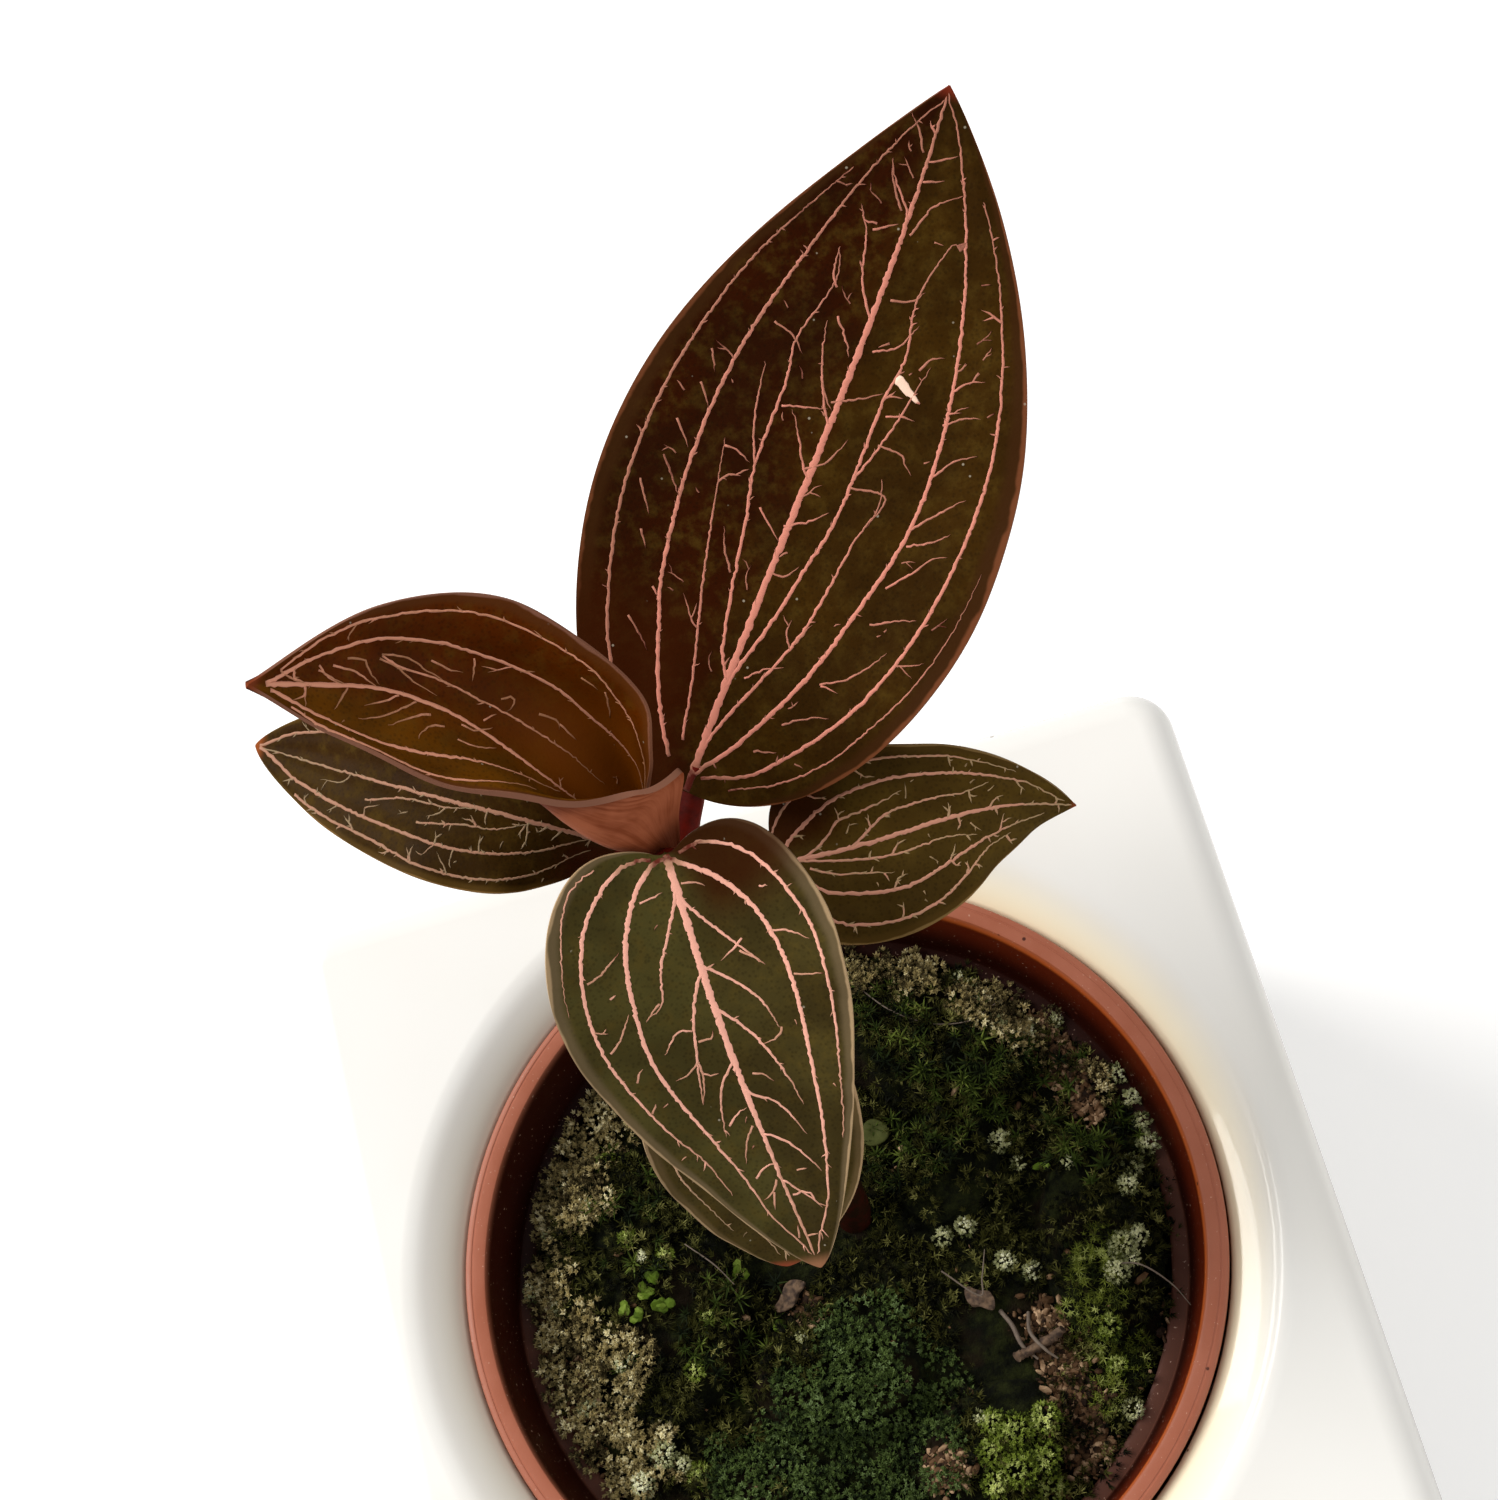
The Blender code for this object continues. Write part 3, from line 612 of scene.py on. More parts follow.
mounds = {}
for index, (name, cushion) in enumerate(CUSHIONS.items()):
    cx, cy, long, wide, high, turn = cushion
    clear_selection()
    bpy.ops.mesh.primitive_ico_sphere_add(subdivisions=5, radius=1)
    mounds[name] = named(f"moss_mound_{name}")
    ball = points_of(mounds[name])
    rise = np.interp(np.linalg.norm(ball[:, :2], axis=1), DOME_REACH, DOME_RISE)
    tall = np.where(ball[:, 2] > 0, rise * np.sqrt(np.clip(ball[:, 2], 0, 1)), 0)
    dx, dy = swing(ball[:, 0] * long, ball[:, 1] * wide, turn)
    shape = np.stack([cx + dx, cy + dy, MOSS_TOP + tall * high], 1)
    shape[:, 2] += rough(shape, 1.4, 0.5, index + 2) * (ball[:, 2] > 0.02)
    put_points(mounds[name], at_rim(shape))
    bpy.ops.object.shade_smooth()

# %% Finish of the moss bed
bed = Finish("moss_bed", Roughness=0.95, Specular_IOR_Level=0.1)
at = bed.place()
bed_colour = bed.blend(bed.band(bed.grain(at, 420, 5, 0.7), 0.4, 0.7), (9, 11, 4), (38, 42, 15))
brown = bed.times(bed.band(bed.grain(at, 120, 3), 0.5, 0.62), 0.7)
bed.set(Base_Color=bed.blend(brown, bed_colour, (30, 20, 11)),
        Normal=bed.relief(bed.grain(at, 1900, 4, 0.7), 0.6 * MM))
hand_over(mat, "dark_moss", bed, stands_for=["moss_mat"])
for name, mound in mounds.items():
    hand_over(mound, "moss_green", bed, stands_for=[f"moss_cushion_{name}"])

# %% [markdown]
# ## Shoots, grains and crumbs
# Thousands of tiny shoots give the moss its look. Each kind is modelled once from a few faces and
# then copied: a star and a sprig of pointed leaves, an upright tuft, a short fat bud, and a rounded
# grain. Most kinds grow all over little domes of their own. The copies of one kind make one mesh,
# or two where one would be too large. Every point carries a `tone`, which tells the finish how
# pale it is. The tone holds painted light and shade: paler at the tips of the shoots and on the
# tops of the domes, darker at their bases and on the sides of the domes.

# %% Patterns for the shoots


def read_pattern(piece):
    """The points and faces of a small model, which is then thrown away."""
    points = points_of(piece)
    faces = np.array([list(p.vertices) for p in piece.data.polygons if len(p.vertices) == 3])
    bpy.data.objects.remove(piece)
    return points, faces


def needles(rows):
    """Pointed leaves round a shoot; a row is (number, tilt from upright, length, half-width)."""
    leaves = []
    for row, (number, tilt, length, half_width) in enumerate(rows):
        for i in range(number):
            clear_selection()
            bpy.ops.mesh.primitive_cone_add(vertices=3, radius1=half_width, depth=length)
            turn = 2 * math.pi * (i + 0.5 * row) / number
            bpy.context.object.matrix_world = (Matrix.Rotation(turn, 4, "Z")
                                               @ Matrix.Rotation(math.radians(tilt), 4, "Y")
                                               @ Matrix.Translation((0, 0, length / 2)))
            leaves.append(bpy.context.object)
    clear_selection()
    for leaf in leaves:
        leaf.select_set(True)
    bpy.context.view_layer.objects.active = leaves[0]
    bpy.ops.object.join()
    return read_pattern(settle(bpy.context.object))


STAR = needles([(5, 62, 1.0, 0.13), (3, 24, 0.8, 0.12)])
SPRIG = needles([(6, 72, 1.0, 0.13), (4, 42, 0.9, 0.12), (2, 12, 0.7, 0.1)])
TUFT = needles([(4, 34, 1.0, 0.14), (2, 8, 1.15, 0.13)])
BUD = needles([(4, 40, 0.8, 0.3), (1, 0, 1.0, 0.3)])
clear_selection()
bpy.ops.mesh.primitive_ico_sphere_add(subdivisions=1, radius=0.5)
GRAIN = read_pattern(bpy.context.object)
print("faces: star", len(STAR[1]), "sprig", len(SPRIG[1]), "tuft", len(TUFT[1]))

# %% Tools for planting


def disc_places(rng, count, radius):
    """Random places all over a disc."""
    away = radius * np.sqrt(rng.uniform(0, 1, count))
    turn = rng.uniform(0, 2 * math.pi, count)
    return np.stack([away * np.cos(turn), away * np.sin(turn)], 1)


def heap_places(rng, heaps):
    """Places crowded round some spots; a heap is (x, y, spread in x, in y, turn, number)."""
    made = []
    for x, y, long, wide, turn, number in heaps:
        spread = rng.normal(0, 0.5, (number, 2)) * (long, wide)
        made.append(np.stack(swing(*spread.T, turn), 1) + (x, y))
    places = np.concatenate(made)
    return places[np.hypot(*places.T) < MAT_RADIUS + 0.8]


def near_spots(places, spots):
    """1 in the middle of a spot (x, y, reach), falling to 0 away from all of them."""
    return np.max([np.exp(-((places - (x, y)) ** 2).sum(1) / reach ** 2)
                   for x, y, reach in spots], axis=0)


def patchy(places, size, seed):
    """A smooth value from 0 to 1 that differs from patch to patch."""
    flat = np.column_stack([places, np.zeros(len(places))])
    return np.clip(0.5 + rough(flat, size, 0.9, seed), 0, 1)


def standing(places, rng, lean, lift):
    """Roots on the moss at (x, y) places, and which way is up for the shoots there."""
    x, y = places.T
    slope = [moss_level(x - 0.5, y) - moss_level(x + 0.5, y),
             moss_level(x, y - 0.5) - moss_level(x, y + 0.5)]
    ups = np.stack([*np.clip(slope, -1.2, 1.2), np.ones(len(x))], 1)
    ups[:, :2] += rng.normal(0, lean, (len(x), 2))
    return np.stack([x, y, moss_level(x, y) + lift], 1), unit(ups)


def plant(name, pattern, roots, ups, sizes, tones, seed, squash=(1, 1, 1)):
    """Copies of one pattern at the roots, each turned at random round its up, as one mesh."""
    rng = np.random.default_rng(seed)
    points, faces = pattern
    count = len(roots)
    side = unit(np.cross(ups, rng.normal(0, 1, (count, 3))))
    frames = np.stack([np.cross(side, ups), side, ups], 1)
    stretch = sizes[:, None] * rng.uniform(0.75, 1.25, (count, 3)) * np.array(squash)
    made = np.einsum("nvk,nkd->nvd", points[None] * stretch[:, None], frames) + roots[:, None]
    corners = (faces[None] + (np.arange(count) * len(points))[:, None, None]).reshape(-1, 3)
    piece = mesh_piece(name, at_rim(made.reshape(-1, 3)), corners)
    # painted light and shade: each copy paler towards its top and darker at its base
    high = (points[:, 2] - points[:, 2].min()) / np.ptp(points[:, 2])
    put_tones(piece, np.clip(tones[:, None] * 0.7 + 0.3 * high[None], 0, 1).ravel())
    return piece


# %% Tools for little domes
HOLLOWS = [(2.0, 4.6, 3.0), (-6.8, -0.2, 3.0), (13.4, -11.4, 5.2), (14.2, -16.8, 3.6),
           (21.5, 0.5, 2.6), (13, 3.5, 2.4), (24, -25, 2.5), (3.5, -27, 2)]


def dome_spots(rng, count, keep, sizes):
    """Places for little domes where keep allows them, but not in the dark hollows."""
    places = disc_places(rng, count, MAT_RADIUS + 1.0)
    open_ground = near_spots(places, HOLLOWS) < rng.uniform(0.25, 0.5, len(places))
    places = places[open_ground & keep(places)]
    return np.column_stack([places, rng.uniform(*sizes, len(places))])


def grow(name, pattern, spots, crowd, sizes, seed, luck=(0, 1), lift=0.0):
    """Shoots all over little domes (x, y, radius), with painted light on top, painted shade at the sides.
    """
    rng = np.random.default_rng(seed)
    spots = np.array(spots, float)
    copies = (crowd * spots[:, 2] ** 2).astype(int) + 1
    x, y, radius = np.repeat(spots, copies, axis=0).T
    pale = np.repeat(rng.uniform(*luck, len(spots)), copies)
    out = unit(rng.normal(0, 1, (len(x), 3)))
    out[:, 2] = np.abs(out[:, 2])
    roots = np.column_stack([x, y, moss_level(x, y) + lift - 0.2])
    roots += out * (radius * rng.uniform(0.75, 1.05, len(x)))[:, None]
    ups = unit(out + rng.normal(0, 0.3, out.shape) + (0, 0, 0.4))
    ups[:, 2] = np.abs(ups[:, 2])
    # painted light and shade: shoots on the top of a dome paler, on its sides darker
    tones = out[:, 2] ** 2 * (0.3 + 0.7 * pale) + 0.25 * pale + rng.normal(0, 0.12, len(x))
    sizes = rng.uniform(*sizes, len(x))
    return plant(name, pattern, roots, ups, sizes, np.clip(tones, 0, 1), seed + 1)


# %% Velvet, olive, khaki and green moss
VELVET = [(-8.5, -17, 7), (0.5, -20.5, 7), (-16, -19, 5), (-3, -14, 5), (-0.3, -8.3, 5.5),
          (-6, -26, 7), (6, -14, 3)]
KHAKI = [(-24, 24.5, 5), (-27.5, 18.6, 5), (-31, 14.5, 5), (-34, 6.7, 5), (-32, 1.5, 4.5),
         (-31, -2.5, 5), (-31, -9.4, 5), (-28, -13.6, 5), (-25.5, -3.5, 3), (-25.3, 13.2, 2.5),
         (15, 29, 4), (22, 23.5, 3.5), (32, 12, 3), (25, 19, 3), (10, 31, 3)]
FRESH = [(24, -12, 3.5), (24.5, -17, 3.5), (25.5, -7, 3), (22, -20, 2.5)]
rng = np.random.default_rng(11)


def velvety(places):
    return near_spots(places, VELVET) + 0.25 * (patchy(places, 3, 21) - 0.5) > 0.42


def khaki_ground(places):
    return near_spots(places, KHAKI) + 0.6 * (patchy(places, 2.5, 61) - 0.5) > 0.42


def fresh_ground(places):
    return near_spots(places, FRESH) > 0.4


def plain_ground(places):
    free = ~(velvety(places) | khaki_ground(places) | fresh_ground(places))
    return free & (patchy(places, 3.2, 51) > 0.22)


velvet_spots = dome_spots(rng, 3600, velvety, (0.7, 1.5))
tuft_spots = dome_spots(rng, 3000, plain_ground, (0.5, 1.6))
khaki_spots = dome_spots(rng, 5200, khaki_ground, (0.5, 1.4))
fresh_spots = dome_spots(rng, 3600, fresh_ground, (0.5, 1.3))
tuft_halves = np.array_split(tuft_spots[np.argsort(tuft_spots[:, 0])], 2)
velvet = grow("moss_velvet", BUD, velvet_spots, 11, (0.35, 0.7), 40)
tufts = [grow("moss_tufts_" + side, TUFT, spots, 7, (0.45, 1.1), seed)
         for side, spots, seed in zip(["left", "right"], tuft_halves, [50, 52])]
khaki = grow("moss_khaki", BUD, khaki_spots, 12, (0.3, 0.75), 60, lift=0.9)
fresh = grow("moss_fresh", STAR, fresh_spots, 10, (0.4, 0.85), 70)

# %% Star-shaped sprigs, pale buds, bright tufts and leaflets
SPRIGS = [(14.5, 19.2, 4, 5, 0, 30), (20.8, 16.1, 6, 4, 0, 34), (25, 15, 4, 3, 0, 12),
          (27.5, 5, 3.5, 5, 0, 26), (33, 6.3, 2, 3, 0, 14), (12, 25, 8, 4, -20, 34),
          (9, 10, 7, 6, 0, 34), (17, 11, 8, 5, 0, 34), (-20, 10, 8, 9, 0, 30), (-16, -4, 9, 6, 0, 30)]
PALE = [(21.1, 25.5, 1.1), (22.0, 24.0, 1.0), (20.3, 27.0, 0.7), (22.8, 20.2, 1.1), (25.8, 18.8, 0.8),
        (29.0, 19.2, 0.8), (19.3, 8.1, 1.2), (34.6, 5.9, 1.0), (34.4, 3.4, 1.2), (32.1, 1.4, 1.1),
        (30.9, -0.9, 1.1), (28.5, -6.9, 1.5), (30.3, -6.3, 1.1), (27.1, -9.3, 1.3), (29.0, -8.4, 0.8),
        (16.2, -4.4, 1.1), (18.6, -6.2, 1.0), (10.5, -0.1, 1.0), (13.1, 0.3, 1.1), (24.6, -22.8, 1.1),
        (-24.2, -14.0, 1.5), (-27.0, -16.4, 1.4), (-22.5, -15.5, 0.9), (-34.0, 6.5, 1.0),
        (-31.5, 4.0, 0.9), (-25.3, 13.2, 0.8), (-20.8, 6.1, 0.6), (-28.5, 16.5, 0.9),
        (-30.7, 12.0, 0.9), (-25.4, -4.3, 1.1), (-31, -7, 1.0), (25.5, 3.0, 0.6), (20.6, 5.3, 0.7),
        (33.6, 11.6, 1.1), (34.2, 8.6, 1.0), (-6.5, -6.7, 0.6), (9.3, -19.8, 0.7), (12.0, -30.5, 1.2)]
BRIGHT = [(12.3, -22.1, 1.9), (15.4, -21.6, 1.7), (11.8, -25.6, 2.2), (14.3, -25.2, 1.8),
          (9.4, -23.5, 1.5), (14.0, -28.0, 1.8), (10.2, -20.6, 1.4), (8.8, -26.5, 1.4), (11, -29, 1.6),
          (24.6, -14.5, 1.3), (24.4, -18.0, 1.1), (-18.5, 5.5, 1.0), (-22.0, 8.3, 1.0),
          (-23.1, 18.2, 1.2), (-15.5, -2.0, 0.9), (-18.4, -7.0, 1.0), (-21.0, -17.0, 1.4)]
LEAFLETS = [(-24.1, 1.1, 1.0), (-21.3, 2.1, 1.1), (-19.7, 0.5, 1.2), (-20.2, 3.3, 0.9),
            (-11.8, 2.0, 1.1), (23.1, 4.0, 0.9), (-8.7, -4.1, 0.8), (-22.6, 0.2, 0.8)]
BROWN = [(18.6, -13.3, 2.6, 4, 15, 420), (18.6, -18.5, 2.2, 4, 0, 260), (19.0, -22.5, 2.6, 6, -8, 420),
         (19.4, -26, 3, 3, 0, 140), (28.6, 15.5, 3, 6, 0, 420), (29.6, 9.8, 2, 2.4, 0, 130),
         (26.5, 19, 4, 2.5, -30, 110), (-5.4, -3.9, 2.4, 2.4, 30, 130), (-32, -5, 2.6, 9, 10, 280),
         (4.4, -23.7, 2.4, 2, 0, 110), (31.5, -16, 2, 5, 0, 60), (-34, 3, 1.6, 6, 0, 160),
         (4.4, -23.7, 2.4, 2, 0, 200), (0, 0, 60, 60, 0, 200)]

places = heap_places(rng, SPRIGS)
sprigs = plant("moss_sprigs", SPRIG, *standing(places, rng, 0.5, 0.9),
               rng.uniform(0.9, 1.9, len(places)), rng.uniform(0, 0.9, len(places)), 64)
pale = grow("moss_pale_buds", BUD, PALE, 70, (0.22, 0.5), 65, luck=(0.5, 1), lift=0.8)
bright = grow("moss_bright_tufts", BUD, BRIGHT, 60, (0.28, 0.6), 66, luck=(0.6, 1), lift=0.4)
x, y, radius = np.repeat(LEAFLETS, 4, axis=0).T
places = np.stack([x, y], 1) + rng.normal(0, 0.35, (len(x), 2)) * radius[:, None]
leaflets = plant("round_leaflets", GRAIN, *standing(places, rng, 0.5, 1.2), radius * 1.5,
                 rng.uniform(0.2, 1, len(places)), 68, (1, 0.8, 0.35))
places = heap_places(rng, BROWN)
brown_crumbs = plant("brown_crumbs", GRAIN, *standing(places, rng, 0.5, 0.5),
                     rng.uniform(0.25, 1.0, len(places)) ** 2 + 0.12,
                     rng.uniform(0, 1, len(places)) ** 1.4, 67, (1.5, 0.8, 0.7))

# %% Finishes of the shoots
SHOOTS = [  # pieces, slot, name of their finish, then its deep, middle and pale colours
    ([velvet], "moss_green", "velvet_green", (28, 40, 17), (80, 98, 46), (118, 138, 88)),
    (tufts, "moss_green", "tuft_green", (10, 12, 3), (62, 62, 20), (150, 148, 84)),
    ([khaki], "moss_green", "khaki_green", (52, 44, 22), (164, 148, 98), (246, 238, 196)),
    ([fresh], "moss_green", "fresh_green", (30, 38, 8), (114, 124, 44), (190, 198, 118)),
    ([sprigs], "moss_green", "sprig_green", (12, 20, 4), (52, 66, 16), (120, 134, 56)),
    ([pale], "moss_green", "pale_green", (84, 90, 48), (188, 190, 140), (250, 250, 222)),
    ([bright], "moss_green", "bright_green", (30, 42, 6), (118, 134, 46), (214, 222, 142)),
    ([leaflets], "moss_green", "leaflet_green", (40, 56, 8), (78, 100, 22), (126, 146, 60)),
    ([brown_crumbs], "dry_wood", "dry_brown", (28, 16, 8), (92, 66, 43), (190, 158, 124)),
]
for pieces, slot, name, low, middle, high in SHOOTS:
    finish = Finish(name, Roughness=0.8, Specular_IOR_Level=0.15)
    uneven = finish.band(finish.grain(finish.place(), 350, 3), 0.3, 0.7, -0.22, 0.22)
    tone = finish.sums("ADD", finish.tone(), uneven)
    finish.set(Base_Color=finish.coats(low, (finish.band(tone, 0.1, 0.6), middle),
                                       (finish.band(tone, 0.55, 1.1), high)))
    for piece in pieces:
        hand_over(piece, slot, finish)

# %% [markdown]
# ## Stem and stalks
# The stem of this orchid is fleshy and red-brown, with a slight swelling at each joint, and it
# winds up from the moss. Stem and stalks are curves with a round bevel, whose radius changes from
# point to point, turned into meshes. Every leaf but the young one has a stalk, which leaves the
# stem on the leaf's side.

# %% Tubes along a path


def tube(name, points, radii, sides):
    """A round rod through points given in mm from the rim; closed at both ends."""
    data = bpy.data.curves.new(name, "CURVE")
    data.dimensions = "3D"
    data.bevel_depth = MM
    data.bevel_resolution = sides
    data.use_fill_caps = True
    spline = data.splines.new("POLY")
    spline.points.add(len(points) - 1)
    for knot, place, radius in zip(spline.points, at_rim(points), radii):
        knot.co = (*place, 1)
        knot.radius = radius
    linked(name, data)
    bpy.ops.object.convert(target="MESH")
    rod = named(name)
    mend(rod, 0.002 * MM)
    soften(rod, 50)
    return rod


def smooth(knots, place):
    """Points along a smooth curve through all the knots; place 1 is the second knot."""
    knots = np.array(knots, float)
    ends = np.concatenate([2 * knots[:1] - knots[1:2], knots, 2 * knots[-1:] - knots[-2:-1]])
    i = np.clip(np.floor(place).astype(int), 0, len(knots) - 2)
    t = (place - i)[..., None]
    own = (np.arange(len(i)),) if knots.ndim == 3 else ()
    a, b, c, d = [ends[(i + k, *own)] for k in range(4)]
    return 0.5 * (2 * b + (c - a) * t + (2 * a - 5 * b + 4 * c - d) * t * t
                  + (3 * b - a - 3 * c + d) * t ** 3)


def smooth_path(knots, samples):
    return smooth(knots, np.linspace(0, len(knots) - 1, samples))


# %% Stem
STEM_KNOTS = [(1.8, 3.4, -24), (2.0, 4.4, -11), (2.0, 8.3, 0), (0.8, 16, 20), (-1.2, 22.6, 38),
              (-2.6, 26.8, 52)]
STEM_STEPS = 120
JOINTS = 5


def stem_radius(share):
    """In mm; slimmer towards the top, with a slight swelling at each joint."""
    joint = np.clip(np.cos(2 * math.pi * JOINTS * share), 0, None) ** 6
    return 2.1 - 0.6 * share + 0.25 * joint


stem_path = smooth_path(STEM_KNOTS, STEM_STEPS + 1)
stem_tip = smooth_path([STEM_KNOTS[-1], (-2.3, 27.2, 53.8), (-1.8, 27.6, 55.8)], 9)[1:]
stem_radii = stem_radius(np.linspace(0, 1, STEM_STEPS + 1))
stem = tube("orchid_stem", np.vstack([stem_path, stem_tip]),
            np.append(stem_radii, np.linspace(1.45, 0.9, len(stem_tip))), 8)

# %% [markdown]
# ## The shape of a leaf
# A blade is one smooth surface, described by two shares: `t` from its base to its tip and `s` from
# its left edge to its right one. The midrib is a curve in space. The outline says how wide the
# blade is at each `t`, the cup bends each half upwards, and the twist turns it along its length.
# The same rule makes the measured solid, so the blade lies where the solid does. The young leaf is
# rolled round itself at its base, so it is a surface through five curves from base to tip instead.

# %% Leaf surface
# Lengths are in mm, places are from the rim, and angles are in degrees.
# midrib: four control points. wide, cup: width and bend of the left half and of the right one.
# form: powers of the outline's rise and fall. lobe: how far the base's lobes reach back.
# facing: where the upper side looks, round and above the horizon. twist: from base to tip.
# foot, side: where up the stem the stalk starts, and to which side. bow: its sideways bend.
# sheath, drop: half-width of the base on the left, and how far it is drawn back.
# dull, dark_base: how bright the veins are at the left edge and at the base, if not fully.
# curves: from base to tip, from the left edge to the right one, with a point at each station.
# bead: how much the left edge thickens.
LEAVES = {
    "leaf_large": dict(
        midrib=[(0.9, 34.4, 50.0), (19.4, 52.3, 68.6), (30.3, 61.8, 74.4), (41.1, 75.2, 85.3)],
        wide=(17.8, 18.9), form=(0.50, 0.94), lobe=0.011, cup=(7, 15), facing=(265, 63), twist=13,
        foot=0.78, side=(-0.6, 0.8), dull=0.5, dark_base=0, sheath=3.6, drop=0.032, bow=-1.3),
    "leaf_front": dict(
        midrib=[(-1.3, 24.8, 61.4), (-1.3, 13.8, 55.4), (-1.8, 10.6, 51.2), (0.1, -7.6, 31.9)],
        wide=(12.4, 13.6), form=(0.47, 0.73), lobe=0.183, cup=(15, 11), facing=(261, 60), twist=23,
        foot=0.86, side=(0.2, -1.0), dark_base=0.1),
    "leaf_right": dict(
        midrib=[(6.8, 27.4, 43.7), (20.0, 23.6, 49.0), (25.1, 26.3, 50.6), (35.0, 24.6, 43.1)],
        wide=(8.8, 9.1), form=(0.35, 0.94), lobe=0.026, cup=(14, 11), facing=(275, 61), twist=21,
        foot=0.72, side=(1.0, 0.1)),
    "leaf_left": dict(
        midrib=[(-6.5, 32.5, 45.7), (-12.4, 33.5, 56.9), (-22.0, 39.5, 53.8), (-38.5, 53.4, 46.3)],
        wide=(7.8, 8.9), form=(0.80, 0.73), lobe=0.024, cup=(15, 16), facing=(256, 63), twist=12,
        foot=0.70, side=(-0.8, 0.6)),
    "leaf_under": dict(
        midrib=[(-3.3, 19.0, 37.5), (-1.8, 8.6, 36.0), (-1.6, 3.9, 29.9), (-4.0, -4.0, 19.1)],
        wide=(10.0, 10.7), form=(0.55, 0.66), lobe=0.077, cup=(15, 14), facing=(270, 66), twist=1,
        foot=0.52, side=(-0.1, -1.0)),
    "leaf_rolled": dict(
        stations=[0, 0.1, 0.2, 0.32, 0.5, 0.7, 0.87, 1],
        curves=[
            [(-0.7, 27, 56.5), (0.3, 28.5, 60.5), (2.0, 30.6, 65.8), (-1.5, 29, 67),
             (-8.5, 29.5, 69.5), (-17, 32.5, 73), (-24, 37.5, 77.5), (-29, 41.5, 83)],
            [(-2, 26.5, 57), (-3.5, 26.5, 60), (-5.5, 27, 63), (-8, 28.5, 66),
             (-11.5, 32, 69), (-18, 35.5, 72.5), (-24.5, 39.5, 77.5), (-29, 41.5, 83)],
            [(-3, 27.5, 55.5), (-4, 29, 56.5), (-6, 30.5, 59), (-8, 32.5, 61.5),
             (-11, 36, 65.5), (-17, 40, 71.5), (-24, 42, 77.5), (-29, 41.5, 83)],
            [(-2, 28.5, 53.5), (-2, 30.5, 54.5), (-2.5, 32.5, 56.5), (-3, 35, 59),
             (-5, 39, 64), (-14, 44, 71.5), (-23, 44, 78), (-29, 41.5, 83)],
            [(-1, 27.5, 54.5), (-1, 29, 57.5), (-1.5, 31, 60), (-0.5, 33, 64),
             (0.5, 37, 68), (-7, 46, 74), (-18, 47.5, 78), (-29, 41.5, 83)]],
        twist=69, bead=0.3),
}
STALK_HALF = 0.9  # half the width of a blade where it meets its stalk
TIP_HALF = 0.06  # and at its tip
LEAST_CURL = 0.1  # degrees


def cubic(points, t):
    """Places and directions along a curve with four control points; straight before its start."""
    p0, p1, p2, p3 = np.array(points, float)
    t = np.asarray(t, float)[..., None]
    u = 1 - t
    place = u ** 3 * p0 + 3 * t * u ** 2 * p1 + 3 * t * t * u * p2 + t ** 3 * p3
    along = u ** 2 * (p1 - p0) + 2 * t * u * (p2 - p1) + t * t * (p3 - p2)
    early = t < 0
    return np.where(early, p0 + 3 * t * (p1 - p0), place), unit(np.where(early, p1 - p0, along))


def outline(t, form):
    rise, fall = form
    widest = rise / (rise + fall)
    t = np.clip(t, 0, 1)
    return (t / widest) ** rise * ((1 - t) / (1 - widest)) ** fall


def rolled_place(leaf, t, s):
    """A point through the five curves: along each to t, and then across them to s."""
    station = np.interp(t, leaf["stations"], range(len(leaf["stations"])))
    curves = np.array([smooth(curve, station) for curve in leaf["curves"]])
    return smooth(curves, (s + 1) / 2 * (len(curves) - 1))


def slopes(place, t, s, size=0.002):
    """The direction out of a surface, from small steps along and across it."""
    t = np.clip(t, 1.5 * size, 1 - 3 * size)
    low, high = t - size, t + size
    along = place(high, s) - place(low, s)
    across = place(t, np.clip(s + size, -1, 1)) - place(t, np.clip(s - size, -1, 1))
    return unit(np.cross(across, along))


ROWS = np.linspace(0, 1, 31)


def measure_spans(leaf):
    """The way over a rolled blade from its midrib to each edge, in mm, at every row."""
    spans = []
    for edge in (-1, 1):
        over = [rolled_place(leaf, ROWS, np.full(len(ROWS), edge * k / 12)) for k in range(13)]
        spans.append(np.linalg.norm(np.diff(over, axis=0), axis=-1).sum(0) + TIP_HALF)
    return spans


LEAVES["leaf_rolled"]["spans"] = measure_spans(LEAVES["leaf_rolled"])


def half_width(leaf, t, s):
    """How far it is over the blade from its midrib to its edge, on the side of s."""
    if "curves" in leaf:
        return np.where(s < 0, *[np.interp(t, ROWS, span) for span in leaf["spans"]])
    end = np.where(s < 0, leaf.get("sheath", STALK_HALF), STALK_HALF) * (1 - t) ** 2 + TIP_HALF
    return np.hypot(np.where(s < 0, *leaf["wide"]) * outline(t, leaf["form"]), end)


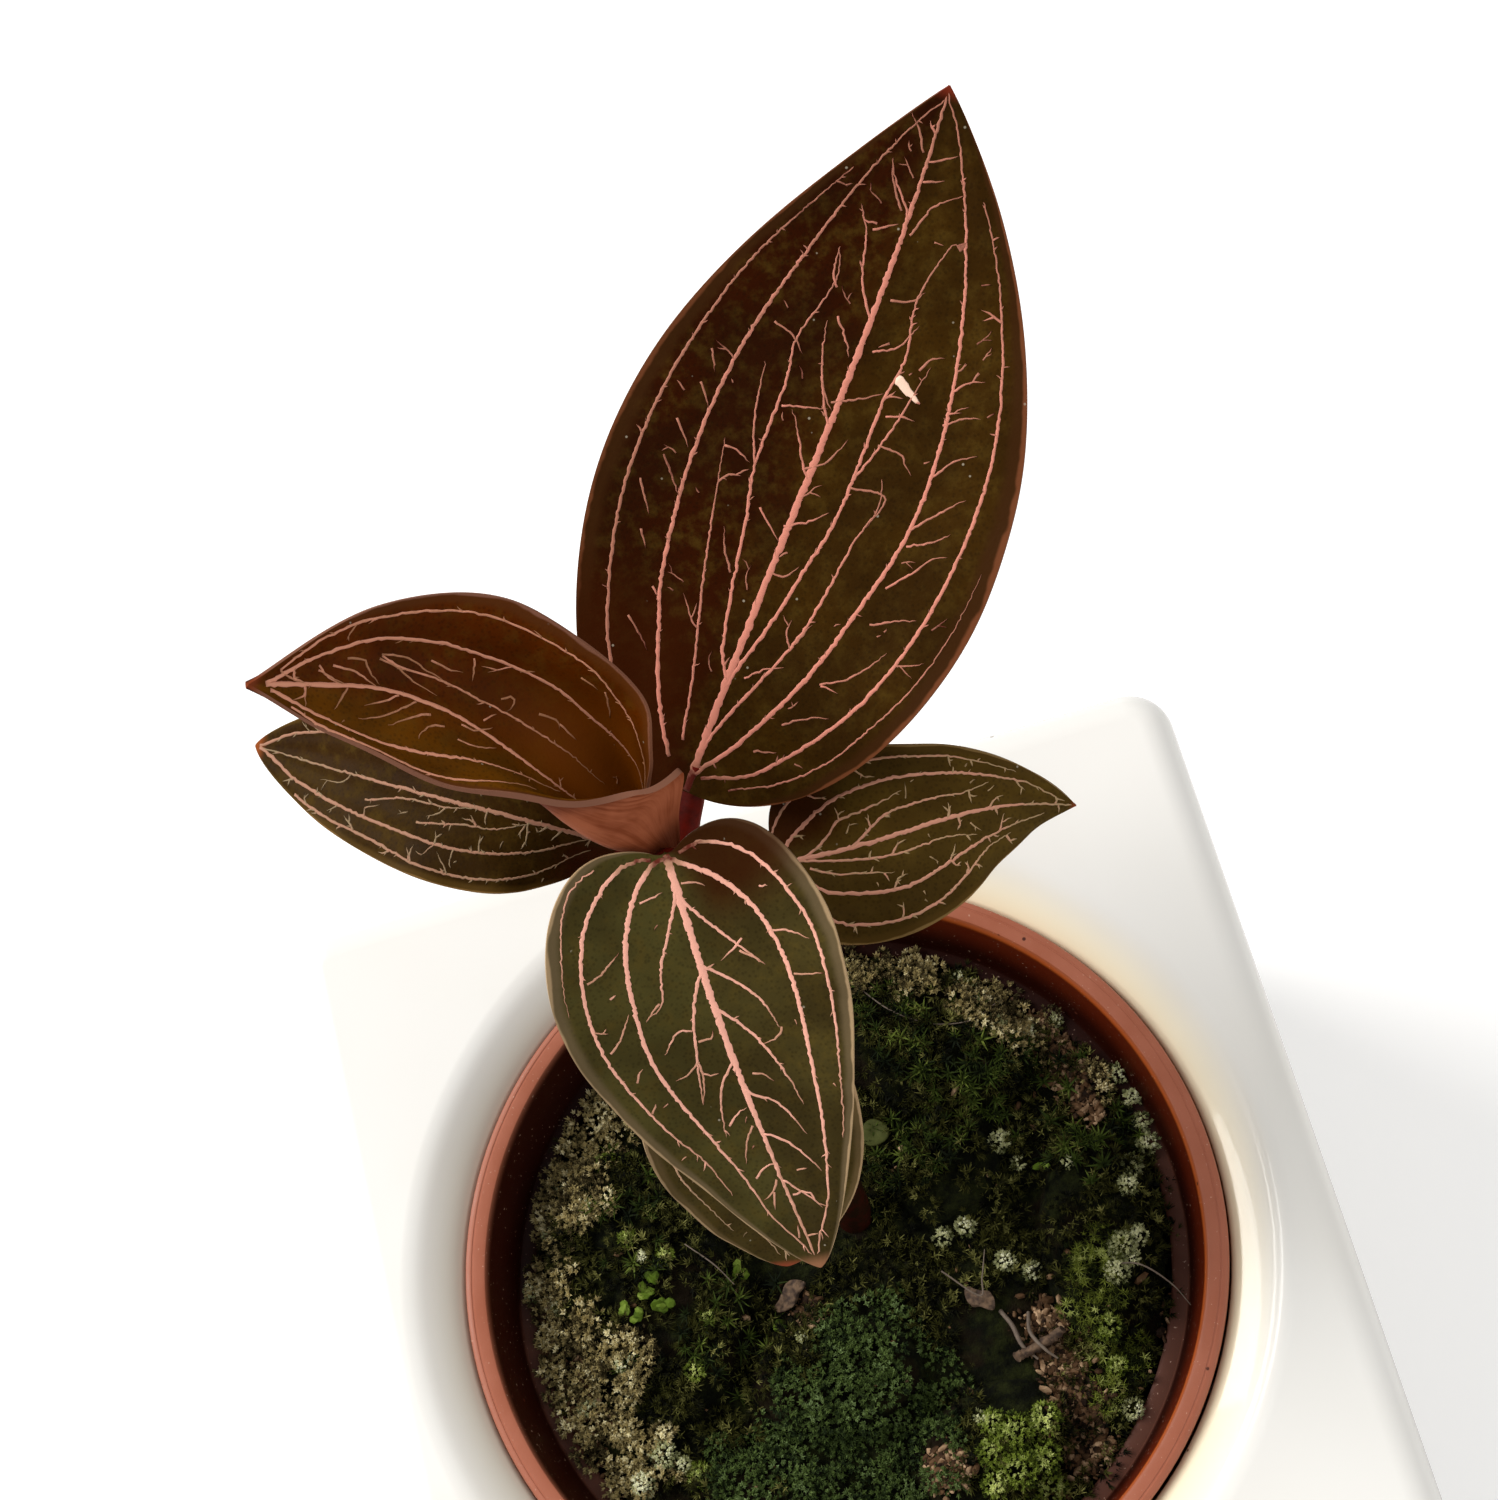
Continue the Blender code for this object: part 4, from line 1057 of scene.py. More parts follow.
def blade_at(leaf, t, s):
    """Points of the blade's upper side in mm from the rim, and the direction out of it."""
    t, s = np.broadcast_arrays(np.asarray(t, float), np.asarray(s, float))
    if "curves" in leaf:
        facing = slopes(lambda a, b: rolled_place(leaf, a, b), t, s)
        return rolled_place(leaf, t, s) + facing * ripple(leaf, t, s)[..., None], facing
    share = outline(t, leaf["form"])
    reach = t - leaf["lobe"] * s * s * share * (1 - t) ** 3
    reach = reach - leaf.get("drop", 0) * np.minimum(s, 0) ** 2 * (1 - t) ** 12
    place, along = cubic(leaf["midrib"], reach)
    around, above = [math.radians(v) for v in leaf["facing"]]
    face = np.array([math.cos(above) * math.cos(around), math.cos(above) * math.sin(around),
                     math.sin(above)])
    up = unit(face - np.sum(face * along, -1, keepdims=True) * along)
    side = np.cross(along, up)
    twist = np.radians(leaf["twist"]) * (reach - 0.5)
    c, n = np.cos(twist)[..., None], np.sin(twist)[..., None]
    up, side = up * c + side * n, side * c - up * n
    width = half_width(leaf, t, s)
    curl = np.radians(np.where(s < 0, *leaf["cup"]) * share + LEAST_CURL)
    out = (width * np.sin(curl * np.abs(s)) / curl * np.sign(s))[..., None]
    rise = (width * (1 - np.cos(curl * np.abs(s))) / curl)[..., None]
    lean = (curl * s)[..., None]
    facing = up * np.cos(lean) - side * np.sin(lean)
    wave = ripple(leaf, t, s)[..., None]
    return place + side * out + up * rise + facing * wave, facing


def ripple(leaf, t, s):
    """Slight unevenness of a living blade, in mm; nothing at its base and its tip."""
    ends = np.clip(np.minimum(t, 1 - t) * 8, 0, 1)
    phase = leaf["twist"]  # any number that differs from leaf to leaf
    quilt = 0.05 * np.cos(2 * math.pi * 2.6 * np.abs(s))
    edge = 0.22 * np.abs(s) ** 3 * np.sin(9 * t * math.pi + phase + 2 * np.sign(s))
    broad = 0.12 * np.sin(5.1 * t + 2.3 * s + phase)
    return ends * (quilt + edge + broad)


def blade_facing(leaf, t, s):
    """The true direction out of the upper side, ripples and all."""
    found = slopes(lambda a, b: blade_at(leaf, a, b)[0], t, s)
    guide = blade_at(leaf, t, s)[1]
    return np.where(np.sum(found * guide, -1, keepdims=True) < 0, -found, found)


# %% Blades
ALONG, ACROSS = 170, 60
LEAF_THICKNESS = 0.5


def make_blade(name, leaf):
    """A fine grid laid on the leaf's surface, given its thickness and a rib beneath.

    Its first faces are the upper side, then the lower side, and last the edge between them.
    """
    clear_selection()
    bpy.ops.mesh.primitive_grid_add(x_subdivisions=ACROSS, y_subdivisions=ALONG, size=2,
                                    calc_uvs=True)
    piece = named(name)
    flat = points_of(piece)  # rows lie closer together at both ends, columns at both edges
    s = np.sin(flat[:, 0] * math.pi / 2) * 0.35 + flat[:, 0] * 0.65
    t = 0.5 - 0.5 * np.cos((flat[:, 1] + 1) / 2 * math.pi)
    corners = np.empty(len(piece.data.loops), int)
    piece.data.loops.foreach_get("vertex_index", corners)
    uv = np.stack([(s[corners] + 1) / 2, t[corners]], 1)
    piece.data.uv_layers[0].data.foreach_set("uv", uv.ravel())
    shape, _ = blade_at(leaf, t, s)
    facing = blade_facing(leaf, t, s)
    put_points(piece, at_rim(shape))
    apply_modifier(piece, "SOLIDIFY", thickness=LEAF_THICKNESS * MM, offset=-1,
                   use_even_offset=False)
    both = points_of(piece)
    thick = 0.55 + 0.45 * np.sqrt(np.clip(1 - s * s, 0, 1))
    rib = 1.1 * (1 - 0.75 * t) * np.exp(-(s / 0.11) ** 2) * np.clip((1 - t) * 12, 0, 1)
    bead = leaf.get("bead", 0) * np.exp(-((1 + s) / 0.05) ** 2) * np.clip((1 - t) * 2, 0, 1)
    both[len(flat):] = at_rim(shape - facing * (LEAF_THICKNESS * thick + rib + bead)[:, None])
    put_points(piece, both)
    soften(piece, 60)
    return piece


blades = {name: make_blade(name.replace("leaf", "blade"), leaf) for name, leaf in LEAVES.items()}

# %% Stalks
STALK_POINTS = 24
FOOT_OUT = 0.45  # how far out in the stem a stalk starts, as a share of the stem's radius
STALK_SHARES, STALK_RADII = [0, 0.12, 0.8, 1], [0.9, 1.5, 1.45, 0.75]
PAST_BASE, BELOW_BASE, SHORT_OF = 0.6, 0.9, 1.2  # mm from the blade's base to the curve's end
TIP_AT, TIP_BELOW = 0.035, 0.7  # the tip goes on this share of the blade, this many mm below it


def stalk_knots(leaf):
    """A curve from inside the stem to just below the base of the blade, in mm from the rim."""
    base, facing = blade_at(leaf, 0.0, 0.0)
    _, along = cubic(leaf["midrib"], 0.0)
    arrive = unit(0.15 * along + np.array([0, 0, 1.0]))
    end = base + along * PAST_BASE - facing * BELOW_BASE - arrive * SHORT_OF
    away = np.array([*leaf["side"], 0.0])
    foot = stem_path[round(leaf["foot"] * STEM_STEPS)]
    foot = foot + unit(away) * stem_radius(leaf["foot"]) * FOOT_OUT
    handle = np.linalg.norm(end - foot) / 3
    leave = unit(0.5 * away + (0, 0, 1.0))
    return [foot, foot + handle * leave, end - handle * arrive, end]


stalks = {}
for name, leaf in LEAVES.items():
    if "foot" in leaf:
        knots = stalk_knots(leaf)
        under_blade = blade_at(leaf, TIP_AT, 0.0)[0] - [0, 0, TIP_BELOW]
        path, _ = cubic(knots, np.linspace(0, 1, STALK_POINTS))
        path[:, 0] += leaf.get("bow", 0) * np.sin(np.linspace(0, math.pi, STALK_POINTS))
        path = np.vstack([path, smooth_path([knots[3], under_blade], 5)[1:]])
        radii = np.interp(np.linspace(0, 1, len(path)), STALK_SHARES, STALK_RADII)
        stalks[name] = tube(name.replace("leaf", "petiole"), path, radii, 6)

# %% [markdown]
# Stem and stalks share one finish: waxy, deep red-brown, streaked along the grain, and redder and
# brighter towards the blades where the sap shows through.

# %% Stem finish
bark = Finish("stem_red_brown", Roughness=0.5, Specular_IOR_Level=0.1)
at = bark.place()
_, _, z = bark.parts(at)
streak = bark.grain(at, 900, 3)
flesh = bark.blend(bark.band(z, RIM + 24 * MM, RIM + 46 * MM), (30, 16, 6), (104, 20, 8))
bark.set(Base_Color=bark.blend(bark.band(streak, 0.35, 0.7, 0, 0.6), flesh, (56, 14, 7)),
         Normal=bark.relief(streak, 0.12 * MM, 0.4))
hand_over(stem, "stem_red_brown", bark, stands_for=["stem"])
for name, piece in stalks.items():
    hand_over(piece, "stem_red_brown", bark, stands_for=[name.replace("leaf", "stalk")])

# %% [markdown]
# ## Leaf finish
# The blade is velvety and almost black-brown. On the large leaf one half is maroon and the other
# olive. A brown band runs inside the margin, the very edge is paler, and the tip is rust-red. The
# finish reads the blade's own map, where u runs across the blade and v from base to tip, so the
# bands follow the outline. The underside is wine red, streaked from base to tip.

# %% Leaf finishes


def leaf_finish(name, left, right, margin, rim, tip, glow=None):
    """Upper side of one blade; glow, if given, is painted light: amber shining through the blade."""
    finish = Finish(name, Specular_IOR_Level=0.03)
    band, times = finish.band, finish.times
    across, t, _ = finish.parts(finish.place("UV"))
    at = finish.place()
    wander = band(finish.grain(at, 190, 3), 0.3, 0.7, -0.06, 0.06)
    halves = band(finish.sums("ADD", across, wander), 0.36, 0.6)
    mottle = finish.grain(at, 600, 4, 0.65)
    cloud = band(finish.grain(at, 110, 2), 0.35, 0.65, 0.42, 0)
    pores = band(finish.cells(at, 2300), 0.1, 0.5, 0.3, 0)
    out = finish.sums("ABSOLUTE", finish.sums("MULTIPLY_ADD", across, 2.0, -1.0))
    out = finish.sums("ADD", out, times(wander, 0.2))
    red_base = times(band(t, 0.12, 0.26, 0.85, 0), band(across, 0.3, 0.5, 1, 0))
    colour = finish.coats(
        left, (halves, right),
        (band(mottle, 0.42, 0.75, 0, 0.6), finish.blend(0.5, right, (100, 78, 26))),
        (cloud, (30, 14, 3)), (pores, (20, 10, 2)),
        (band(out, 0.88, 0.95, 0, 0.9), margin), (band(out, 0.972, 0.99, 0, 0.9), rim),
        (band(t, 0.975, 0.998), tip), (red_base, (56, 22, 3)))
    if glow:
        # painted light: amber shining through the rolled blade, towards its base on the right half
        painted_glow = times(band(t, 0.3, 0.7, 1, 0), band(across, 0.36, 0.6))
        colour = finish.blend(times(painted_glow, band(across, 0.8, 0.94, 1, 0.25)), colour, glow)
    speck = times(band(finish.cells(at, 620), 0.05, 0.09, 1, 0),
                  band(finish.grain(at, 380, 0), 0.62, 0.66))
    colour = finish.blend(times(speck, 0.7), colour, (170, 160, 140))
    fine = finish.relief(finish.cells(at, 3600), 0.03 * MM, 0.4)
    velvet_skin = finish.relief(finish.grain(at, 420, 3), 0.15 * MM, 0.35, Normal=fine)
    finish.set(Base_Color=colour, Normal=velvet_skin, Roughness=band(mottle, 0.35, 0.7, 0.46, 0.6))
    return finish


def underside_finish(name, throat_glow=None):
    """The wine-red lower side, streaked from base to tip; throat, if given, is painted light near the base.
    """
    finish = Finish(name, Roughness=0.6, Specular_IOR_Level=0.06)
    across, t, _ = finish.parts(finish.place("UV"))
    along = finish.step("CombineXYZ", {0: finish.times(across, 40.0), 1: finish.times(t, 5.0)})
    streaks = finish.grain(along, 1, 3)
    patches = finish.grain(finish.place(), 160, 3)
    share = finish.band(finish.sums("ADD", streaks, patches), 0.75, 1.25)
    share = finish.times(share, finish.band(t, 0.02, 0.22, 0.1, 1))
    colour = finish.blend(share, (70, 28, 18), (110, 56, 38))
    if throat_glow:
        # painted light: brighter colours near the base, where light shines through the blade
        glow_near_base = finish.band(t, 0.28, 0.5, 1, 0)
        colour = finish.blend(glow_near_base, colour, finish.blend(share, *throat_glow))
    finish.set(Base_Color=colour, Normal=finish.relief(streaks, 0.15 * MM, 0.5))
    return finish


LEAF_TINTS = {  # left half, right half, margin band, rim, tip
    "leaf_large": [(48, 15, 0), (58, 36, 4), (58, 32, 10), (112, 64, 38), (120, 44, 26)],
    "leaf_front": [(70, 60, 28), (76, 69, 33), (104, 88, 62), (176, 148, 112), (150, 104, 74)],
    "leaf_right": [(78, 58, 18), (76, 58, 20), (74, 54, 20), (124, 98, 58), (128, 62, 34)],
    "leaf_left": [(54, 35, 4), (52, 31, 4), (76, 54, 18), (118, 88, 46), (140, 72, 30)],
    "leaf_under": [(78, 66, 31), (76, 64, 30), (100, 82, 52), (172, 144, 108), (140, 70, 46)],
    "leaf_rolled": [(104, 60, 5), (86, 35, 0), (84, 44, 16), (130, 88, 70), (120, 56, 30)],
}
underside = underside_finish("leaf_underside")
# painted light: the funnel's outside brighter near the base, where light shines through the blade
funnel_side_glow = underside_finish("funnel_side_glow", throat_glow=[(118, 54, 26), (160, 90, 60)])
for name, piece in blades.items():
    rolled = name == "leaf_rolled"
    # painted light: the rolled blade's amber glow
    top = leaf_finish(name + "_top", *LEAF_TINTS[name], glow=(122, 62, 4) if rolled else None)
    hand_over(piece, "leaf_blade", top, funnel_side_glow if rolled else underside, stands_for=[name])
    sides = np.zeros(len(piece.data.polygons), int)
    sides[ALONG * ACROSS:2 * ALONG * ACROSS] = 1
    piece.data.polygons.foreach_set("material_index", sides)

# %% [markdown]
# ## Veins
# The salmon net is what the plant is grown for. A strong midrib runs to the tip, and three or four
# long veins follow the outline on each side of it. Short crooked twigs leave them, slant towards
# the tip, fork and stop. The long veins, and the twigs of the three leaves nearest the viewer,
# follow the real plant and are given as a few (t, s) points each. Finer twigs, loose dashes and
# thorns are grown by a rule that walks over the blade in small steps and stops before it meets
# another vein. Each vein is then laid on the blade as a low ridge that sinks into it on both sides.

# %% Long veins
VEINS = {  # width in mm at its start, then (t, s) points in hundredths of the blade
    "leaf_large": [
        (0.92, (0, 0), (8, 0), (30, 0), (60, 0), (85, 0), (98.5, 0)),
        (0.52, (3, -31), (8, -42), (17, -50), (23, -54), (48, -60), (70, -61), (93, -60), (98, -10)),
        (0.42, (6, -70), (11, -78), (17, -81), (30, -84), (52, -86), (69, -88), (85, -84)),
        (0.32, (5, -19), (12, -22), (21, -30), (29, -36), (34, -40), (41, -46)),
        (0.42, (13, 0), (16, -9), (24, -16), (32, -21), (39, -27), (51, -30), (58, -36), (68, -32),
         (73, -42)),
        (0.28, (39, -27), (43, -34), (47, -39), (53, -45)),
        (0.3, (40, 0), (42, -6), (46, -15), (48, -21)),
        (0.3, (48, 0), (50, -6), (56, -17), (62, -25)),
        (0.32, (64, 0), (66, -6), (69, -15), (76, -29), (80, -46)),
        (0.28, (80, 0), (82, -8), (88, -51)),
        (0.46, (12, 0), (21, 10), (29, 15), (35, 19), (42, 20), (54, 21), (61, 26), (70, 24), (78, 41),
         (79, 53)),
        (0.3, (42, 20), (50, 29), (56, 35), (61, 41)),
        (0.42, (5, 1), (11, 12), (18, 23), (24, 28), (34, 31), (40, 36), (44, 33)),
        (0.56, (2, 4), (6, 23), (12, 34), (18, 41), (26, 46), (40, 54), (58, 56), (90, 56), (96, 49),
         (99, 10)),
        (0.48, (2, 14), (4, 49), (8, 61), (14, 70), (21, 75), (34, 79), (56, 84), (80, 84), (86, 81)),
        (0.24, (2, 55), (5, 75), (9, 83), (15, 86), (22, 90), (38, 93))],
    "leaf_front": [
        (0.95, (0, 0), (10, 0), (35, 0), (70, 0), (98, 0)),
        (0.62, (1, -2), (3, -17), (9, -38), (19, -51), (31, -57), (46, -60), (63, -62), (85, -69),
         (92, -62), (98, -20)),
        (0.46, (1, -35), (2, -62), (5, -71), (13, -78), (23, -82), (35, -85), (58, -86), (80, -90)),
        (0.62, (1, 4), (2, 28), (8, 39), (21, 46), (40, 50), (60, 54), (83, 44), (92, 45), (98, 15)),
        (0.50, (1, 40), (2, 65), (9, 71), (18, 76), (43, 80), (59, 80), (71, 76), (79, 69), (86, 74)),
        (0.2, (5, 89), (10, 94), (22, 90), (38, 91)),
        (0.4, (9, 0), (12, 5), (20, 15), (30, 26), (39, 31), (43, 45)),
        (0.4, (34, 0), (36, 5), (45, 15), (56, 24), (67, 36)),
        (0.32, (58, 0), (60, 4), (65, 18), (75, 34)),
        (0.42, (10, 0), (12, -2), (20, -15), (29, -30), (37, -44)),
        (0.4, (31, 0), (32, -2), (39, -20), (46, -34), (54, -42)),
        (0.42, (44, 0), (45, -2), (53, -19), (65, -39), (72, -49)),
        (0.36, (66, 0), (68, -7), (71, -26), (78, -47)),
        (0.36, (76, 0), (77, -11), (80, -31), (85, -61)),
        (0.3, (85, 0), (87, -14), (89, -36), (91, -56))],
    "leaf_rolled": [
        (0.55, (97, 0), (90, 0), (81, 9), (76, 9), (70, 6), (66, 5), (56, 0), (47, -5), (37, -3), (20, 0)),
        (0.5, (97, 15), (92, 50), (87, 61), (82, 65), (75, 61), (68, 58), (63, 58), (56, 56), (46, 50),
         (31, 65), (20, 70)),
        (0.34, (95, 60), (93, 82), (88, 87), (82, 86), (69, 86), (57, 87), (48, 80), (33, 86), (20, 90)),
        (0.3, (79, 48), (75, 35), (70, 30), (63, 25), (57, 23), (49, 21), (41, 23), (30, 26)),
        (0.5, (96, -31), (91, -53), (85, -61), (79, -61), (72, -50), (63, -40), (53, -30), (44, -17),
         (36, -7)),
        (0.36, (93, -80), (89, -93), (78, -92), (71, -88), (59, -74), (43, -31)),
        (0.34, (92, 45), (91.5, 20), (90, -5), (90, -50)),
        (0.26, (88, 35), (85, 16), (83, 8)),
        (0.3, (86, 41), (82, 30), (80, 20), (78, 10))],
    "leaf_left": [
        (0.6, (2, 0), (20, 0), (50, 0), (80, 0), (98.5, 0)),
        (0.5, (99, -12), (93, -49), (88, -55), (67, -54), (54, -55), (37, -49), (23, -34), (10, 0)),
        (0.4, (90, -88), (82, -84), (72, -79), (60, -85), (47, -85), (35, -81), (22, -69), (10, -34)),
        (0.4, (99, 20), (95, 58), (89, 61), (70, 56), (40, 50), (15, 30)),
        (0.3, (75, -30), (66, -12), (56, -9), (46, 1)),
        (0.3, (62, -36), (50, -24), (41, -20), (31, -2))],
    "leaf_right": [
        (0.62, (0, 0), (20, 0), (50, 0), (80, 0), (98.5, 0)),
        (0.5, (0, -5), (4, -29), (10, -42), (19, -54), (31, -59), (43, -61), (75, -59), (85, -62),
         (96, -38)),
        (0.36, (1, -72), (10, -78), (34, -85), (53, -85), (80, -80)),
        (0.36, (5, 0), (8, -2), (14, -17), (19, -31), (26, -34), (34, -38), (42, -45)),
        (0.36, (20, 0), (23, -4), (29, -16), (36, -25), (54, -29), (63, -31), (71, -46)),
        (0.5, (2, 10), (10, 40), (17, 46), (25, 51), (35, 54), (46, 51), (67, 45), (90, 43)),
        (0.4, (4, 60), (13, 76), (19, 80), (28, 83), (37, 83), (47, 80), (57, 73), (68, 61), (78, 59)),
        (0.34, (5, 0), (7, 3), (19, 12), (32, 19), (52, 21), (64, 34)),
        (0.3, (8, 14), (15, 24), (23, 29), (31, 36))],
    "leaf_under": [
        (0.6, (0, 0), (20, 0), (50, 0), (80, 0), (98, 0)),
        (0.42, (1, 10), (6, 40), (20, 50), (50, 55), (80, 50), (96, 20)),
        (0.34, (3, 60), (10, 74), (30, 80), (60, 82), (85, 72)),
        (0.42, (1, -10), (6, -40), (20, -50), (50, -55), (80, -50), (96, -20)),
        (0.34, (3, -60), (10, -74), (30, -80), (60, -82), (85, -72))],
}

# %% Twigs given one by one
PLACED_TWIGS = {  # (t, s) points in hundredths of the blade
    "leaf_front": [
        [(39, 33), (41, 39), (43, 45)], [(30, 75), (28, 65), (23, 51)], [(49, 76), (46, 65), (40, 54)],
        [(49, 19), (48, 28), (50, 35), (53, 43)], [(52, 18), (52, 9), (50, 6)],
        [(57, 24), (59, 34), (60, 45)], [(57, 25), (60, 25), (64, 30), (67, 36)],
        [(60, 25), (61, 20), (61, 14)], [(73, 26), (71, 15), (70, 4)], [(63, -11), (64, -20), (66, -26)],
        [(74, 6), (77, 19), (81, 31)], [(84, 30), (83, 20), (82, 4), (83, -6)],
        [(85, 7), (87, 20), (88, 39)], [(87, 18), (90, 33)], [(88, -7), (88, -35), (90, -46), (91, -66)],
        [(95, 23), (93, 7)], [(95, -5), (95, -38)], [(28, -35), (30, -26), (32, -15)],
        [(31, -30), (34, -38), (37, -44)], [(29, -55), (31, -68), (35, -80)],
        [(42, -62), (43, -72), (44, -84)], [(54, -44), (56, -39), (57, -27)], [(11, 35), (10, 25), (9, 14)],
        [(8, -6), (9, -19), (11, -27)], [(18, -65), (19, -71)], [(58, 71), (56, 66), (55, 62)],
        [(66, 76), (64, 69)], [(35, 62), (34, 58)], [(84, -25), (84, -40)]],
    "leaf_rolled": [
        [(95, 60), (92, 19), (90, -2)], [(92, 49), (91, 11), (89, -4)], [(88, 44), (86, 18), (83, 6)],
        [(84, 49), (81, 44), (80, 33), (78, 14)], [(90, -4), (90, -26), (92, -44)],
        [(83, 3), (84, -17), (85, -35)], [(75, 6), (77, -5), (80, -15)], [(72, 4), (76, -17), (81, -36)],
        [(69, -4), (72, -12), (76, -30)], [(66, -9), (69, -16), (71, -32)],
        [(79, 45), (76, 36), (73, 23), (69, 15)], [(79, 49), (75, 45), (72, 36), (67, 26)],
        [(72, 45), (69, 40), (67, 41)], [(67, 54), (66, 46), (65, 36)], [(63, -2), (60, 0), (58, 9)],
        [(60, 31), (59, 36), (58, 30), (58, 24)], [(61, 56), (60, 61)], [(54, 33), (51, 34), (49, 30)],
        [(50, 33), (45, 31)], [(63, -17), (59, -16), (55, -7)], [(60, 11), (59, 20)], [(52, 78), (46, 62)],
        [(56, 76), (53, 76)]],
    "leaf_large": [
        [(17, 48), (19, 59), (22, 66), (24, 69)], [(26, 55), (28, 66), (29, 74)],
        [(31, 54), (34, 62), (37, 69), (38, 75)], [(37, 55), (39, 66), (41, 73)],
        [(39, 53), (42, 62), (44, 68), (46, 75)], [(47, 56), (50, 64), (52, 75)],
        [(54, 54), (56, 64), (57, 74)], [(59, 56), (61, 64), (62, 74)], [(11, 43), (13, 54), (14, 64)],
        [(7, 39), (8, 53)], [(51, -4), (53, 9), (55, 20)], [(27, -1), (27, 7), (29, 12)],
        [(33, -2), (35, 9), (37, 15)], [(41, -4), (43, 5), (47, 11)],
        [(48, 26), (48, 38), (47, 41), (46, 46)], [(41, 20), (42, 34), (41, 38), (37, 34)],
        [(52, 25), (53, 33), (53, 40)], [(60, 7), (62, 20), (66, 29)], [(68, 7), (69, 21), (71, 28)],
        [(78, 6), (83, 21), (86, 56)], [(86, 3), (87, 30)], [(89, 4), (91, 51)],
        [(90, -11), (93, -40), (95, -94)], [(81, -9), (84, -27), (88, -50)],
        [(78, -25), (78, -36), (80, -47)], [(77, -26), (79, -7)], [(67, -29), (69, -36), (73, -42)],
        [(59, -52), (58, -38), (56, -29)], [(52, -74), (49, -66)], [(41, -72), (38, -61)],
        [(36, -71), (33, -61), (31, -55)], [(32, -78), (28, -68)], [(16, -68), (13, -54)],
        [(26, -70), (24, -65)], [(34, -17), (33, -12), (31, -2)], [(47, -70), (44, -60)],
        [(48, -27), (49, -16), (50, -4)], [(40, -45), (40, -38), (39, -30)],
        [(25, -19), (27, -25), (30, -30)], [(54, -14), (52, -9), (50, -2)], [(63, -20), (60, -9), (58, -4)],
        [(62, 15), (61, 9)], [(60, 35), (62, 40), (63, 48)], [(17, 49), (17, 59)], [(63, 70), (61, 65)],
        [(20, -57), (19, -52)], [(45, -75), (46, -81)], [(30, 4), (29, 1)], [(14, 9), (16, 18), (17, 26)],
        [(20, 26), (22, 28), (23, 29)]],
}

# %% Growing the fine twigs


